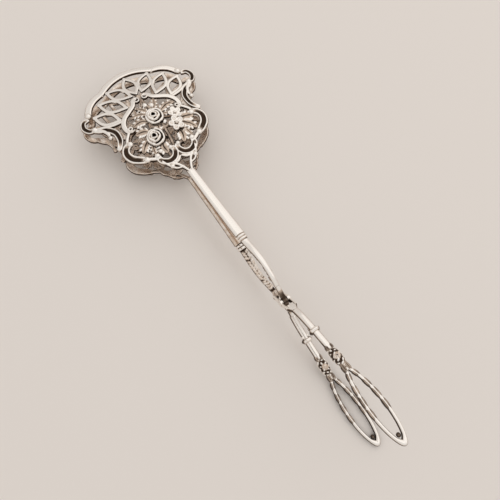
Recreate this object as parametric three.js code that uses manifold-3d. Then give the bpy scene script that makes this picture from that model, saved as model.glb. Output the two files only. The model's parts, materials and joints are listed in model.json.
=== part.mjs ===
// Pastry tongs: two S-shaped arms of cast silver-coloured metal that cross at one riveted box joint.
// Each arm has a pierced, domed jaw at one end and an open loop handle at the other.
// Millimetres. +X points to the jaws, +Y is the pivot's axis and +Z is up, as the tongs lie on a table.
import * as THREE from 'three';
import { mergeVertices } from 'three/addons/utils/BufferGeometryUtils.js';
import Module from 'manifold-3d';

const wasm = await Module();
wasm.setup();

// Gaps between soldered castings, and running clearances in the joint
const SEAT_GAP = 0.3;
const TONGUE_CLEARANCE = 0.2;
const PIN_CLEARANCE = 0.08;

// Side profile of an arm, measured from the pivot: reach along X and rise above the middle plane
const CROSS_REACH = 5.5;
const CROSS_RISE = 4.1;
const FLARE_REACH = 11;
const FLARE_RISE = 7.4;
const BOW_REACH = 19;
const BOW_RISE = 9.6;
const COLLAR_REACH = 33;
const COLLAR_RISE = 6;
const NECK_MID_REACH = 50;
const NECK_MID_RISE = 4.6;
const NECK_REACH = 72.4;
const BAR_MID_REACH = 20;
const BAR_MID_RISE = 10.6;
const KNOT_REACH = 32;
const KNOT_RISE = 13.6;
const LOOP_FRONT_REACH = 42;
const LOOP_FRONT_RISE = 15.7;
const LOOP_MID_REACH = 55;
const LOOP_MID_RISE = 16.9;
const HANDLE_REACH = 72;
const HANDLE_RISE = 17.5;

// Jaw: its plan, its dome and the sections of its castings
const JAW_LENGTH = 68.5;
const JAW_WIDTH = 62;
const RIM_LEVEL = 3.6;
const CROWN_RISE = 5.4;
const RIM_WIDTH = 3.6;
const RIM_THICKNESS = 2.2;
const BEAD_RADIUS = 1.8;
const LATTICE_THICKNESS = 1.5;
const RIB_WIDTH = 1.4;
const RIB_STEP = 0.12;
const WEB_WIDTH = 3;
const SCROLL_WIDTH = 2.4;
const SCROLL_THICKNESS = 2;
const STEM_WIDTH = 2.2;
const STEM_THICKNESS = 1.3;
const LEAF_WIDTH = 4.2;
const LEAF_THICKNESS = 1.6;
const ROSE_RADIUS = 4;
const ROSE_HEIGHT = 2.8;
const BLOSSOM_RADIUS = 3.9;
const FLOWER_PAD_RADIUS = 2.4;
const WEAR_DEPTH = 0.5;

// Bars, collar, ring, knot and loop of an arm
const NECK_WIDTH = 4.2;
const NECK_TIP_WIDTH = 3.5;
const NECK_THICKNESS = 2.4;
const COLLAR_LENGTH = 3.4;
const COLLAR_WIDTH = 5;
const COLLAR_END_WIDTH = 3.4;
const COLLAR_THICKNESS = 3.4;
const SHANK_WIDTH = 2.5;
const SHANK_THICKNESS = 2.2;
const SHEATH_SWELL = 1.8;
const SHEATH_LENGTH = 8;
const BUD_SWELL = 1.5;
const BUD_LENGTH = 5;
const BAR_WIDTH = 2.9;
const BAR_THICKNESS = 2.4;
const RING_REACH = 18.5;
const RING_LENGTH = 1.6;
const RING_WALL = 0.8;
const KNOT_LENGTH = 9;
const KNOT_WIDTH = 3.4;
const KNOT_ROSE_RADIUS = 3;
const KNOT_ROSE_HEIGHT = 1.9;
const KNOT_ROSE_SEAT = 0.7;
const KNOT_LEAF_LENGTH = 5.6;
const KNOT_LEAF_WIDTH = 2.6;
const KNOT_LEAF_THICKNESS = 1.7;
const KNOT_LEAF_REACH = 2;
const KNOT_LEAF_OFFSET = 1.6;
const KNOT_LEAF_SPREAD = 28;
const LOOP_WIDTH = 8.6;
const STRAND_WIDTH = 1.8;
const STRAND_THICKNESS = 2.2;
const LOOP_FULLNESS = 1.3;
const LOOP_LEAN = 0.1;
const TIP_BEAD_RADIUS = 0.9;

// Box joint and rivet
const TONGUE_WIDTH = 2.1;
const TONGUE_THICKNESS = 2.4;
const TONGUE_BOSS_RADIUS = 1.8;
const CHEEK_WIDTH = 1.4;
const BOX_THICKNESS = 2.4;
const BOX_REACH = 4.6;
const WINDOW_REACH = 3.4;
const BOX_BOSS_RADIUS = 1.9;
const PIN_RADIUS = 0.7;
const RIVET_HEAD_RADIUS = 1.3;
const RIVET_TOP_RADIUS = 0.8;
const RIVET_HEAD_HEIGHT = 0.4;
const JOINT_REACH = 6.6;

// Sections: eased corners of bars, and strokes' crests and ends as shares of their widths
const CORNER_EASE = 0.5;
const STROKE_CREST = 0.55;
const RIM_END_SHARE = 0.86;
const SCROLL_END_SHARE = 0.55;
const LEAF_END_SHARE = 0.15;

// Facets
const SCROLL_STEPS = 8;
const RIM_STEPS = 8;
const RIB_STEPS = 5;
const LEAF_STEPS = 4;
const BAR_STEPS = 8;
const SHANK_STEPS = 16;
const SHORT_STEPS = 4;
const PETAL_SIDES = 15;
const BALL_SIDES = 8;
const BALL_RINGS = 5;
const LOOP_STEPS = 28;
const ROUND_SIDES = 14;

const SILVER = { color: 0xd8d4cc, metalness: 1, roughness: 0.2 };

// The jaw's ornament is drawn in shares of the jaw's length: u from the neck to the tip, v to the left
const PLAN_ASPECT = 0.905;
const CROWN_PLAN = { centre: 0.526, neckSpan: 0.53, tipSpan: 0.453, halfSpan: 0.438 };
const PLAN_SCALE = Math.sqrt((JAW_LENGTH * JAW_WIDTH) / PLAN_ASPECT);

function signedVolume(geometry) {
  const position = geometry.getAttribute('position');
  const index = geometry.getIndex();
  const a = new THREE.Vector3();
  const b = new THREE.Vector3();
  const c = new THREE.Vector3();
  let sum = 0;
  for (let i = 0; i < index.count; i += 3) {
    a.fromBufferAttribute(position, index.getX(i));
    b.fromBufferAttribute(position, index.getX(i + 1));
    c.fromBufferAttribute(position, index.getX(i + 2));
    sum += a.dot(b.cross(c)) / 6;
  }
  return sum;
}

// A solid from a three.js geometry: shared vertices merged, faces turned outward
function solid(geometry) {
  const bare = geometry.clone();
  bare.deleteAttribute('normal');
  bare.deleteAttribute('uv');
  const merged = mergeVertices(bare, 1e-4);
  const triangles = Uint32Array.from(merged.getIndex().array);
  if (signedVolume(merged) < 0) {
    for (let i = 0; i < triangles.length; i += 3) {
      const swap = triangles[i];
      triangles[i] = triangles[i + 1];
      triangles[i + 1] = swap;
    }
  }
  const vertices = Float32Array.from(merged.getAttribute('position').array);
  return new wasm.Manifold(new wasm.Mesh({ numProp: 3, vertProperties: vertices, triVerts: triangles }));
}

function join(solids) {
  return solids.reduce((whole, piece) => whole.add(piece));
}

// The largest connected body: trimming can leave crumbs of a leaf or a rib beyond the cut
function mainBody(shape) {
  const bodies = shape.decompose();
  return bodies.reduce((best, body) => (body.volume() > best.volume() ? body : best));
}

function geometryOf(shape) {
  const mesh = shape.getMesh();
  const geometry = new THREE.BufferGeometry();
  geometry.setAttribute('position', new THREE.Float32BufferAttribute(mesh.vertProperties, 3));
  geometry.setIndex(Array.from(mesh.triVerts));
  return geometry;
}

// Skin over a row of rings with equal point counts, capped at both ends or closed on itself
function loft(rings, closed = false) {
  const size = rings[0].length;
  const positions = rings.flat().flatMap((point) => [point.x, point.y, point.z]);
  const index = [];
  const spans = closed ? rings.length : rings.length - 1;
  for (let i = 0; i < spans; i += 1) {
    const next = (i + 1) % rings.length;
    for (let j = 0; j < size; j += 1) {
      const k = (j + 1) % size;
      index.push(i * size + j, next * size + j, next * size + k);
      index.push(i * size + j, next * size + k, i * size + k);
    }
  }
  if (!closed) {
    const last = (rings.length - 1) * size;
    for (let j = 1; j < size - 1; j += 1) {
      index.push(0, j, j + 1);
      index.push(last, last + j + 1, last + j);
    }
  }
  const geometry = new THREE.BufferGeometry();
  geometry.setAttribute('position', new THREE.Float32BufferAttribute(positions, 3));
  geometry.setIndex(index);
  return geometry;
}

// Height of the jaw's middle surface above the middle plane, over the plan
function dome(u, v) {
  const { centre, neckSpan, tipSpan, halfSpan } = CROWN_PLAN;
  const q = ((u - centre) / (u < centre ? neckSpan : tipSpan)) ** 2 + (v / halfSpan) ** 2;
  return RIM_LEVEL + (CROWN_RISE * (1 - q)) / (1 + q);
}

function onJaw(u, v, height) {
  const x = NECK_REACH + u * JAW_LENGTH;
  const y = (v * JAW_WIDTH) / PLAN_ASPECT;
  return new THREE.Vector3(x, y, dome(u, v) + height);
}

const STATIONS = [
  [-HANDLE_REACH, -HANDLE_RISE],
  [-LOOP_MID_REACH, -LOOP_MID_RISE],
  [-LOOP_FRONT_REACH, -LOOP_FRONT_RISE],
  [-KNOT_REACH, -KNOT_RISE],
  [-BAR_MID_REACH, -BAR_MID_RISE],
  [-FLARE_REACH, -FLARE_RISE],
  [-CROSS_REACH, -CROSS_RISE],
  [0, 0],
  [CROSS_REACH, CROSS_RISE],
  [FLARE_REACH, FLARE_RISE],
  [BOW_REACH, BOW_RISE],
  [COLLAR_REACH, COLLAR_RISE],
  [NECK_MID_REACH, NECK_MID_RISE],
  [NECK_REACH, dome(0, 0)],
];

// Slope at a station: none at a high point, otherwise the harmonic mean of its two sides
function stationSlope(i) {
  const rate = (k) => (STATIONS[k + 1][1] - STATIONS[k][1]) / (STATIONS[k + 1][0] - STATIONS[k][0]);
  if (i === 0) return rate(0);
  if (i === STATIONS.length - 1) return rate(i - 1);
  const before = rate(i - 1);
  const after = rate(i);
  return before * after <= 0 ? 0 : (2 * before * after) / (before + after);
}

// Rise of an arm's middle line at x, a smooth curve through the stations
function profile(x) {
  let i = 0;
  while (i < STATIONS.length - 2 && x > STATIONS[i + 1][0]) i += 1;
  const [x0, z0] = STATIONS[i];
  const [x1, z1] = STATIONS[i + 1];
  const run = x1 - x0;
  const t = (x - x0) / run;
  const h00 = 2 * t ** 3 - 3 * t ** 2 + 1;
  const h10 = t ** 3 - 2 * t ** 2 + t;
  const h01 = 3 * t ** 2 - 2 * t ** 3;
  const h11 = t ** 3 - t ** 2;
  return h00 * z0 + h10 * run * stationSlope(i) + h01 * z1 + h11 * run * stationSlope(i + 1);
}

function profileAngle(x) {
  const step = 0.01;
  return Math.atan2(profile(x + step) - profile(x - step), 2 * step);
}

// A point beside an arm's middle line: across along Y, height square to the line
function besideArm(x, across, height) {
  const angle = profileAngle(x);
  return new THREE.Vector3(x - height * Math.sin(angle), across, profile(x) + height * Math.cos(angle));
}

// Eight-sided section of a bar, its corners eased by a share of its thickness
function barSection(width, thickness) {
  const a = width / 2;
  const b = thickness / 2;
  const ease = b * CORNER_EASE;
  return [
    [a, b - ease], [a - ease, b], [ease - a, b], [-a, b - ease],
    [-a, ease - b], [ease - a, -b], [a - ease, -b], [a, ease - b],
  ];
}

function squareSection(width, thickness) {
  const a = width / 2;
  const b = thickness / 2;
  return [[a, b], [-a, b], [-a, -b], [a, -b]];
}

// A bar that follows the arm from x0 to x1
function armBar(x0, x1, steps, widthAt, thickness, section = barSection) {
  const rings = [];
  for (let i = 0; i <= steps; i += 1) {
    const x = x0 + ((x1 - x0) * i) / steps;
    rings.push(section(widthAt(x), thickness).map(([a, h]) => besideArm(x, a, h)));
  }
  return solid(loft(rings));
}

// A cast stroke on the jaw along a curve through plan points, tapered to its ends and narrower on top
function stroke(points, width, low, high, endShare, steps) {
  const curve = new THREE.CatmullRomCurve3(points.map(([u, v]) => new THREE.Vector3(u, v, 0)));
  const rings = [];
  for (let i = 0; i <= steps; i += 1) {
    const t = i / steps;
    const at = curve.getPointAt(t);
    const along = curve.getTangentAt(t);
    const taper = endShare + (1 - endShare) * Math.sqrt(Math.sin(Math.PI * t));
    const half = (width / 2 / PLAN_SCALE) * taper;
    const crest = half * STROKE_CREST;
    const section = [[half, low], [crest, high], [-crest, high], [-half, low]];
    rings.push(section.map(([a, h]) => onJaw(at.x - along.y * a, at.y + along.x * a, h)));
  }
  return solid(loft(rings));
}

function mirrored(points) {
  return points.map(([u, v]) => [u, -v]);
}

// How far a stroke stands above and below the dome: a cutter goes right through its neighbours
function halfHeight(thickness, clearance) {
  return clearance > 0 ? thickness * 2 : thickness / 2;
}

function ball(radius, centre) {
  const geometry = new THREE.SphereGeometry(radius, BALL_SIDES, BALL_RINGS);
  geometry.translate(centre.x, centre.y, centre.z);
  return solid(geometry);
}

// Cylinder along Y through the pivot, between two places on that axis
function crossCylinder(radius, y0, y1) {
  const geometry = new THREE.CylinderGeometry(radius, radius, y1 - y0, ROUND_SIDES);
  geometry.translate(0, (y0 + y1) / 2, 0);
  return solid(geometry);
}

// Plain three-lobed rim: half of the middle lobe, then a side lobe that ends at the bead
const RIM_APEX = [0.978, 0];
const RIM_NOTCH = [0.906, 0.208];
const RIM_BEAD = [0.793, 0.368];
const SIDE_LOBE_CONTROL = [0.899, 0.324];

function rimLobes() {
  const middleControl = new THREE.Vector2(2 * RIM_APEX[0] - RIM_NOTCH[0], 0);
  const left = new THREE.Vector2(...RIM_NOTCH);
  const right = new THREE.Vector2(RIM_NOTCH[0], -RIM_NOTCH[1]);
  const middle = new THREE.QuadraticBezierCurve(left, middleControl, right);
  const side = new THREE.QuadraticBezierCurve(
    left,
    new THREE.Vector2(...SIDE_LOBE_CONTROL),
    new THREE.Vector2(...RIM_BEAD),
  );
  const plan = (curve) => curve.getPoints(6).map((point) => [point.x, point.y]);
  return [plan(middle), plan(side), mirrored(plan(side))];
}

function jawRim(clearance = 0) {
  const reach = halfHeight(RIM_THICKNESS, clearance);
  const width = RIM_WIDTH + 2 * clearance;
  const lobes = rimLobes().map((points) => stroke(points, width, -reach, reach, RIM_END_SHARE, RIM_STEPS));
  const beads = [RIM_BEAD, ...mirrored([RIM_BEAD])].map((place) => (
    ball(BEAD_RADIUS + clearance, onJaw(...place, 0))
  ));
  return join([...lobes, ...beads]);
}

// Scrollwork of the left half, mirrored on the right: a stroke's width against SCROLL_WIDTH, then its points
const KITE_TIP = [0.025, 0];
const SCROLLS = [
  [1, [[0.692, -0.009], [0.672, 0.05], [0.622, 0.123], [0.561, 0.201], [0.485, 0.204], [0.458, 0.164]]],
  [1, [[0.768, 0.382], [0.762, 0.423], [0.715, 0.441], [0.672, 0.418], [0.66, 0.371]]],
  [1, [[0.677, 0.394], [0.636, 0.359], [0.604, 0.312], [0.549, 0.274], [0.491, 0.266], [0.423, 0.28]]],
  [0.8, [[0.593, 0.178], [0.604, 0.242], [0.619, 0.315]]],
  [1.3, [[0.482, 0.201], [0.438, 0.254], [0.391, 0.295], [0.336, 0.301], [0.286, 0.272], [0.266, 0.222]]],
  [0.9, [[0.292, 0.266], [0.254, 0.225], [0.219, 0.169], [0.213, 0.128]]],
  [1.1, [[0.239, 0.14], [0.19, 0.128], [0.164, 0.085], [0.172, 0.038], [0.213, 0.009], [0.242, 0.02]]],
  [0.8, [[KITE_TIP[0], 0.006], [0.064, 0.028], [0.117, 0.058], [0.169, 0.088]]],
  [0.7, [[0.082, 0.038], [0.102, 0.079], [0.14, 0.111], [0.19, 0.131]]],
];

function jawScrolls(clearance = 0) {
  const reach = halfHeight(SCROLL_THICKNESS, clearance);
  const both = SCROLLS.flatMap(([share, points]) => [points, mirrored(points)].map((side) => (
    stroke(side, SCROLL_WIDTH * share + 2 * clearance, -reach, reach, SCROLL_END_SHARE, SCROLL_STEPS)
  )));
  return join(both);
}

// Fan lattice: ribs that bound pointed-oval openings and cross at their tips, joined by webs
const LENSES = [
  { centre: [0.685, 0.274], turn: 43, length: 0.161, width: 0.073 },
  { centre: [0.75, 0.193], turn: 42, length: 0.181, width: 0.079 },
  { centre: [0.816, 0.105], turn: 40, length: 0.155, width: 0.073 },
  { centre: [0.832, 0], turn: 0, length: 0.146, width: 0.073 },
  { centre: [0.816, -0.105], turn: -40, length: 0.155, width: 0.073 },
  { centre: [0.75, -0.193], turn: -42, length: 0.181, width: 0.079 },
  { centre: [0.685, -0.274], turn: -43, length: 0.161, width: 0.073 },
];
const RIB_OVERRUN = 0.2;
const WEB_START = 0.3;

function lensRib({ centre, turn, length, width }, edge) {
  const angle = THREE.MathUtils.degToRad(turn);
  const points = [];
  for (let i = 0; i <= RIB_STEPS; i += 1) {
    const t = -RIB_OVERRUN + ((1 + 2 * RIB_OVERRUN) * i) / RIB_STEPS;
    const a = length * (t - 0.5);
    const b = (edge * width * Math.sin(Math.PI * t)) / 2;
    const u = centre[0] + a * Math.cos(angle) - b * Math.sin(angle);
    const v = centre[1] + a * Math.sin(angle) + b * Math.cos(angle);
    points.push([u, v]);
  }
  return points;
}

// A short web from the rib of one opening to the rib of the next
function lensWeb(from, to) {
  const at = (share) => [0, 1].map((k) => from.centre[k] + share * (to.centre[k] - from.centre[k]));
  return [at(WEB_START), at(0.5), at(1 - WEB_START)];
}

// Where ribs cross, one lies a little proud of the other, and the webs lie below both
function jawLattice(rimCutter, scrollCutter) {
  const half = LATTICE_THICKNESS / 2;
  const under = half - RIB_STEP;
  const ribs = LENSES.flatMap((lens) => [
    stroke(lensRib(lens, 1), RIB_WIDTH, -half, half, 1, RIB_STEPS),
    stroke(lensRib(lens, -1), RIB_WIDTH, -under, under, 1, RIB_STEPS),
  ]);
  const low = under - RIB_STEP;
  const webs = LENSES.slice(1).map((lens, i) => stroke(lensWeb(LENSES[i], lens), WEB_WIDTH, -low, low, 1, 2));
  return mainBody(join([...ribs, ...webs]).subtract(rimCutter).subtract(scrollCutter));
}

// Flowers of the bouquet
const ROSE_FRONT = [0.499, -0.015];
const ROSE_BACK = [0.365, 0.076];
const BLOSSOM = [0.38, -0.105];
const STEMS = [
  [[0.234, 0.003], [0.307, -0.009], [0.409, -0.018], [0.496, -0.015], [0.584, -0.006], [0.66, 0]],
  [[0.371, 0.175], [0.365, 0.076], [0.388, -0.015], [0.38, -0.105], [0.374, -0.228]],
];
const LEAVES = [
  [[0.368, 0.12], [0.342, 0.172], [0.301, 0.213]],
  [[0.491, 0.006], [0.485, 0.091], [0.464, 0.172]],
  [[0.493, -0.029], [0.464, -0.12], [0.455, -0.204]],
  [[0.502, -0.029], [0.534, -0.117], [0.555, -0.19]],
  [[0.377, -0.126], [0.339, -0.181], [0.286, -0.219]],
  [[0.526, -0.009], [0.584, 0.038], [0.642, 0.064]],
  [[0.342, 0.07], [0.283, 0.058], [0.228, 0.038]],
  [[0.353, -0.096], [0.286, -0.079], [0.225, -0.058]],
];

// A point on the jaw, and the frame that stands square to the dome there
function jawFrame([u, v], height) {
  const step = 0.01;
  const alongU = onJaw(u + step, v, 0).sub(onJaw(u - step, v, 0));
  const alongV = onJaw(u, v + step, 0).sub(onJaw(u, v - step, 0));
  const up = alongU.clone().cross(alongV).normalize();
  const turn = new THREE.Quaternion().setFromUnitVectors(new THREE.Vector3(0, 0, 1), up);
  const place = onJaw(u, v, 0).addScaledVector(up, height);
  return new THREE.Matrix4().compose(place, turn, new THREE.Vector3(1, 1, 1));
}

const FLOWER_SEAT = STEM_THICKNESS / 2 + SEAT_GAP;

// Rings of petals round an axis along Z: shares of the flower's radius and height, and how deep the lobes are
const ROSE_RINGS = [
  [0.55, 0, 0],
  [1, 0.3, 0.07],
  [0.94, 0.62, 0.07],
  [0.66, 0.5, 0.04],
  [0.6, 0.86, 0.04],
  [0.4, 1, 0],
];
const BLOSSOM_RINGS = [
  [0.4, 0, 0],
  [1, 0.36, 0.16],
  [0.9, 0.56, 0.16],
  [0.42, 0.5, 0.04],
  [0.36, 1, 0],
];
const PETALS = 5;

function petals(rings, radius, height) {
  const sections = rings.map(([radiusShare, heightShare, depth]) => {
    const ring = [];
    for (let i = 0; i < PETAL_SIDES; i += 1) {
      const angle = (2 * Math.PI * i) / PETAL_SIDES;
      const r = radius * radiusShare * (1 - depth + depth * Math.cos(PETALS * angle));
      ring.push(new THREE.Vector3(r * Math.cos(angle), r * Math.sin(angle), height * heightShare));
    }
    return ring;
  });
  return loft(sections);
}

function drum(radius, bottom, top) {
  const geometry = new THREE.CylinderGeometry(radius, radius, top - bottom, ROUND_SIDES);
  geometry.rotateX(Math.PI / 2);
  geometry.translate(0, 0, (bottom + top) / 2);
  return geometry;
}

// The table touches the crests of the lower jaw's flowers and the underside of the lower loop
const CREST_X = onJaw(...ROSE_FRONT, 0).x;
const CREST_LEVEL = dome(...ROSE_FRONT) + FLOWER_SEAT + ROSE_HEIGHT;
const LOOP_LEVEL = HANDLE_RISE + STRAND_THICKNESS / 2;
const REST_SLOPE = (LOOP_LEVEL - CREST_LEVEL) / (HANDLE_REACH + CREST_X);
const PITCH = Math.atan(REST_SLOPE);

function crestPlaneAt(x) {
  return CREST_LEVEL - REST_SLOPE * (x - CREST_X);
}

// What lies above the worn crests, as a slab to cut away
function wearSlab() {
  const depth = 40;
  const geometry = new THREE.BoxGeometry(JAW_LENGTH * 2, JAW_WIDTH * 2, depth);
  geometry.translate(0, 0, depth / 2);
  geometry.rotateY(PITCH);
  geometry.translate(CREST_X, 0, CREST_LEVEL);
  return solid(geometry);
}

// Height that a flower needs to reach just past the worn crest plane
function flowerHeight(place) {
  const x = onJaw(...place, 0).x;
  return crestPlaneAt(x) - dome(...place) - FLOWER_SEAT + WEAR_DEPTH;
}

function flower(rings, radius, place) {
  const geometry = petals(rings, radius, flowerHeight(place));
  geometry.applyMatrix4(jawFrame(place, FLOWER_SEAT));
  return mainBody(solid(geometry).subtract(wearSlab()));
}

// Room for a flower above the spray that carries it
function flowerPocket(place, radius) {
  const geometry = drum(radius + SEAT_GAP, STEM_THICKNESS / 2, ROSE_HEIGHT * 3);
  geometry.applyMatrix4(jawFrame(place, 0));
  return solid(geometry);
}

// A round pad under a flower, drawn on the plan like the stems and leaves that meet it
function flowerPad([u, v]) {
  const radius = FLOWER_PAD_RADIUS / PLAN_SCALE;
  const ring = (height) => {
    const points = [];
    for (let i = 0; i < ROUND_SIDES; i += 1) {
      const angle = (2 * Math.PI * i) / ROUND_SIDES;
      points.push(onJaw(u + radius * Math.cos(angle), v + radius * Math.sin(angle), height));
    }
    return points;
  };
  return solid(loft([ring(-STEM_THICKNESS / 2), ring(STEM_THICKNESS / 2)]));
}

function jawSpray(scrollCutter) {
  const half = STEM_THICKNESS / 2;
  const top = LEAF_THICKNESS - half;
  const stems = STEMS.map((points) => (
    stroke(points, STEM_WIDTH, -half, half, SCROLL_END_SHARE, SCROLL_STEPS)
  ));
  const leaves = LEAVES.map((points) => stroke(points, LEAF_WIDTH, -half, top, LEAF_END_SHARE, LEAF_STEPS));
  const pads = [ROSE_FRONT, ROSE_BACK, BLOSSOM].map(flowerPad);
  const pockets = [
    flowerPocket(ROSE_FRONT, ROSE_RADIUS),
    flowerPocket(ROSE_BACK, ROSE_RADIUS),
    flowerPocket(BLOSSOM, BLOSSOM_RADIUS),
  ];
  const whole = join([...stems, ...leaves, ...pads]);
  return mainBody(whole.subtract(join(pockets)).subtract(scrollCutter));
}

function jawPieces() {
  const rim = jawRim();
  const rimCutter = jawRim(SEAT_GAP);
  const scrollCutter = jawScrolls(SEAT_GAP);
  return {
    jaw_rim: rim,
    jaw_lattice: jawLattice(rimCutter, scrollCutter),
    jaw_scrolls: mainBody(jawScrolls().subtract(rimCutter)),
    jaw_spray: jawSpray(scrollCutter),
    jaw_rose_front: flower(ROSE_RINGS, ROSE_RADIUS, ROSE_FRONT),
    jaw_rose_back: flower(ROSE_RINGS, ROSE_RADIUS, ROSE_BACK),
    jaw_blossom: flower(BLOSSOM_RINGS, BLOSSOM_RADIUS, BLOSSOM),
  };
}

// Smooth swelling of a bar, one at its middle and none past its length
function swell(x, middle, length) {
  const t = Math.abs(x - middle) / (length / 2);
  return t >= 1 ? 0 : Math.cos((Math.PI * t) / 2) ** 2;
}

const COLLAR_FRONT = COLLAR_REACH + COLLAR_LENGTH / 2;
const COLLAR_BACK = COLLAR_REACH - COLLAR_LENGTH / 2;
const KNOT_FRONT = KNOT_REACH - KNOT_LENGTH / 2;
const KNOT_BACK = KNOT_REACH + KNOT_LENGTH / 2;

function neck() {
  const from = COLLAR_FRONT + SEAT_GAP;
  const to = onJaw(...KITE_TIP, 0).x - SEAT_GAP;
  const width = (x) => NECK_WIDTH + ((NECK_TIP_WIDTH - NECK_WIDTH) * (x - from)) / (to - from);
  return armBar(from, to, BAR_STEPS, width, NECK_THICKNESS);
}

function collar() {
  const bulge = COLLAR_WIDTH - COLLAR_END_WIDTH;
  const width = (x) => COLLAR_END_WIDTH + bulge * swell(x, COLLAR_REACH, COLLAR_LENGTH);
  return armBar(COLLAR_BACK, COLLAR_FRONT, SHORT_STEPS, width, COLLAR_THICKNESS);
}

function shank() {
  const from = JOINT_REACH + SEAT_GAP;
  const to = COLLAR_BACK - SEAT_GAP;
  const sheath = to - SHEATH_LENGTH / 2;
  const bud = from + BUD_LENGTH;
  const width = (x) => SHANK_WIDTH + SHEATH_SWELL * swell(x, sheath, SHEATH_LENGTH)
    + BUD_SWELL * swell(x, bud, BUD_LENGTH);
  return armBar(from, to, SHANK_STEPS, width, SHANK_THICKNESS);
}

function handleBar(clearance = 0) {
  const from = -KNOT_FRONT + SEAT_GAP;
  const to = -JOINT_REACH - SEAT_GAP;
  const width = BAR_WIDTH + 2 * clearance;
  return armBar(from, to, BAR_STEPS, () => width, BAR_THICKNESS + 2 * clearance);
}

function beadRing() {
  const from = -RING_REACH - RING_LENGTH / 2;
  const width = BAR_WIDTH + 2 * (SEAT_GAP + RING_WALL);
  const thickness = BAR_THICKNESS + 2 * (SEAT_GAP + RING_WALL);
  return armBar(from, from + RING_LENGTH, 2, () => width, thickness).subtract(handleBar(SEAT_GAP));
}

// Lays a piece of the knot, made round the origin with the bar along X, on the arm's middle line
function onKnot(geometry) {
  geometry.rotateY(-profileAngle(-KNOT_REACH));
  geometry.translate(-KNOT_REACH, 0, profile(-KNOT_REACH));
  return solid(geometry);
}

function knotRose(side) {
  const geometry = petals(ROSE_RINGS, KNOT_ROSE_RADIUS, KNOT_ROSE_HEIGHT);
  geometry.translate(0, 0, KNOT_ROSE_SEAT);
  if (side < 0) geometry.rotateX(Math.PI);
  return onKnot(geometry);
}

// Four leaves spread from under the roses of a knot
function knotLeaf(along, across) {
  const geometry = new THREE.SphereGeometry(0.5, BALL_SIDES, BALL_RINGS);
  geometry.scale(KNOT_LEAF_LENGTH, KNOT_LEAF_WIDTH, KNOT_LEAF_THICKNESS);
  geometry.rotateZ(along * across * THREE.MathUtils.degToRad(KNOT_LEAF_SPREAD));
  geometry.translate(along * KNOT_LEAF_REACH, across * KNOT_LEAF_OFFSET, 0);
  return onKnot(geometry);
}

function knot() {
  const stem = armBar(-KNOT_BACK, -KNOT_FRONT, SHORT_STEPS, () => KNOT_WIDTH, BAR_THICKNESS);
  const leaves = [[1, 1], [1, -1], [-1, 1], [-1, -1]].map(([along, across]) => knotLeaf(along, across));
  return join([stem, knotRose(1), knotRose(-1), ...leaves]);
}

// Long oval outline of the loop, drawn in by an inset, narrower towards the knot
function loopOutline(inset) {
  const points = [];
  const middle = -(KNOT_BACK + SEAT_GAP + HANDLE_REACH) / 2;
  const halfLength = (HANDLE_REACH - KNOT_BACK - SEAT_GAP) / 2 - inset;
  const halfWidth = LOOP_WIDTH / 2 - inset;
  for (let i = 0; i < LOOP_STEPS; i += 1) {
    const angle = (2 * Math.PI * i) / LOOP_STEPS;
    const across = Math.sign(Math.sin(angle)) * Math.abs(Math.sin(angle)) ** LOOP_FULLNESS;
    const lean = 1 - LOOP_LEAN * Math.cos(angle);
    points.push(new THREE.Vector2(middle + halfLength * Math.cos(angle), halfWidth * across * lean));
  }
  return points;
}

function handleLoop() {
  const shape = new THREE.Shape(loopOutline(0));
  shape.holes.push(new THREE.Path(loopOutline(STRAND_WIDTH)));
  const geometry = new THREE.ExtrudeGeometry(shape, { depth: STRAND_THICKNESS, bevelEnabled: false });
  const position = geometry.getAttribute('position');
  for (let i = 0; i < position.count; i += 1) {
    position.setZ(i, profile(position.getX(i)) + position.getZ(i) - STRAND_THICKNESS / 2);
  }
  return solid(geometry);
}

// Distance from a place on the loop's long axis to the nearest side of an outline
function roomOnAxis(outline, x) {
  const place = new THREE.Vector3(x, 0, 0);
  const corners = outline.map((point) => new THREE.Vector3(point.x, point.y, 0));
  const rooms = corners.map((corner, i) => {
    const side = new THREE.Line3(corner, corners[(i + 1) % corners.length]);
    return side.closestPointToPoint(place, true, new THREE.Vector3()).distanceTo(place);
  });
  return Math.min(...rooms);
}

// The bead sits as far into the loop's pointed tip as its seat allows
function tipBead() {
  const opening = loopOutline(STRAND_WIDTH);
  const step = TIP_BEAD_RADIUS / 20;
  let x = -HANDLE_REACH + STRAND_WIDTH;
  while (roomOnAxis(opening, x) < TIP_BEAD_RADIUS + SEAT_GAP) x += step;
  return ball(TIP_BEAD_RADIUS, new THREE.Vector3(x, 0, profile(x)));
}

const HOLE_RADIUS = (PIN_RADIUS + PIN_CLEARANCE) / Math.cos(Math.PI / ROUND_SIDES);
const WINDOW_HALF = TONGUE_WIDTH / 2 + TONGUE_CLEARANCE;
const BOX_HALF = WINDOW_HALF + CHEEK_WIDTH;

function tongue() {
  const bar = armBar(-JOINT_REACH, JOINT_REACH, BAR_STEPS, () => TONGUE_WIDTH, TONGUE_THICKNESS);
  const boss = crossCylinder(TONGUE_BOSS_RADIUS, -TONGUE_WIDTH / 2, TONGUE_WIDTH / 2);
  return bar.add(boss).subtract(crossCylinder(HOLE_RADIUS, -BOX_HALF, BOX_HALF));
}

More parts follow.
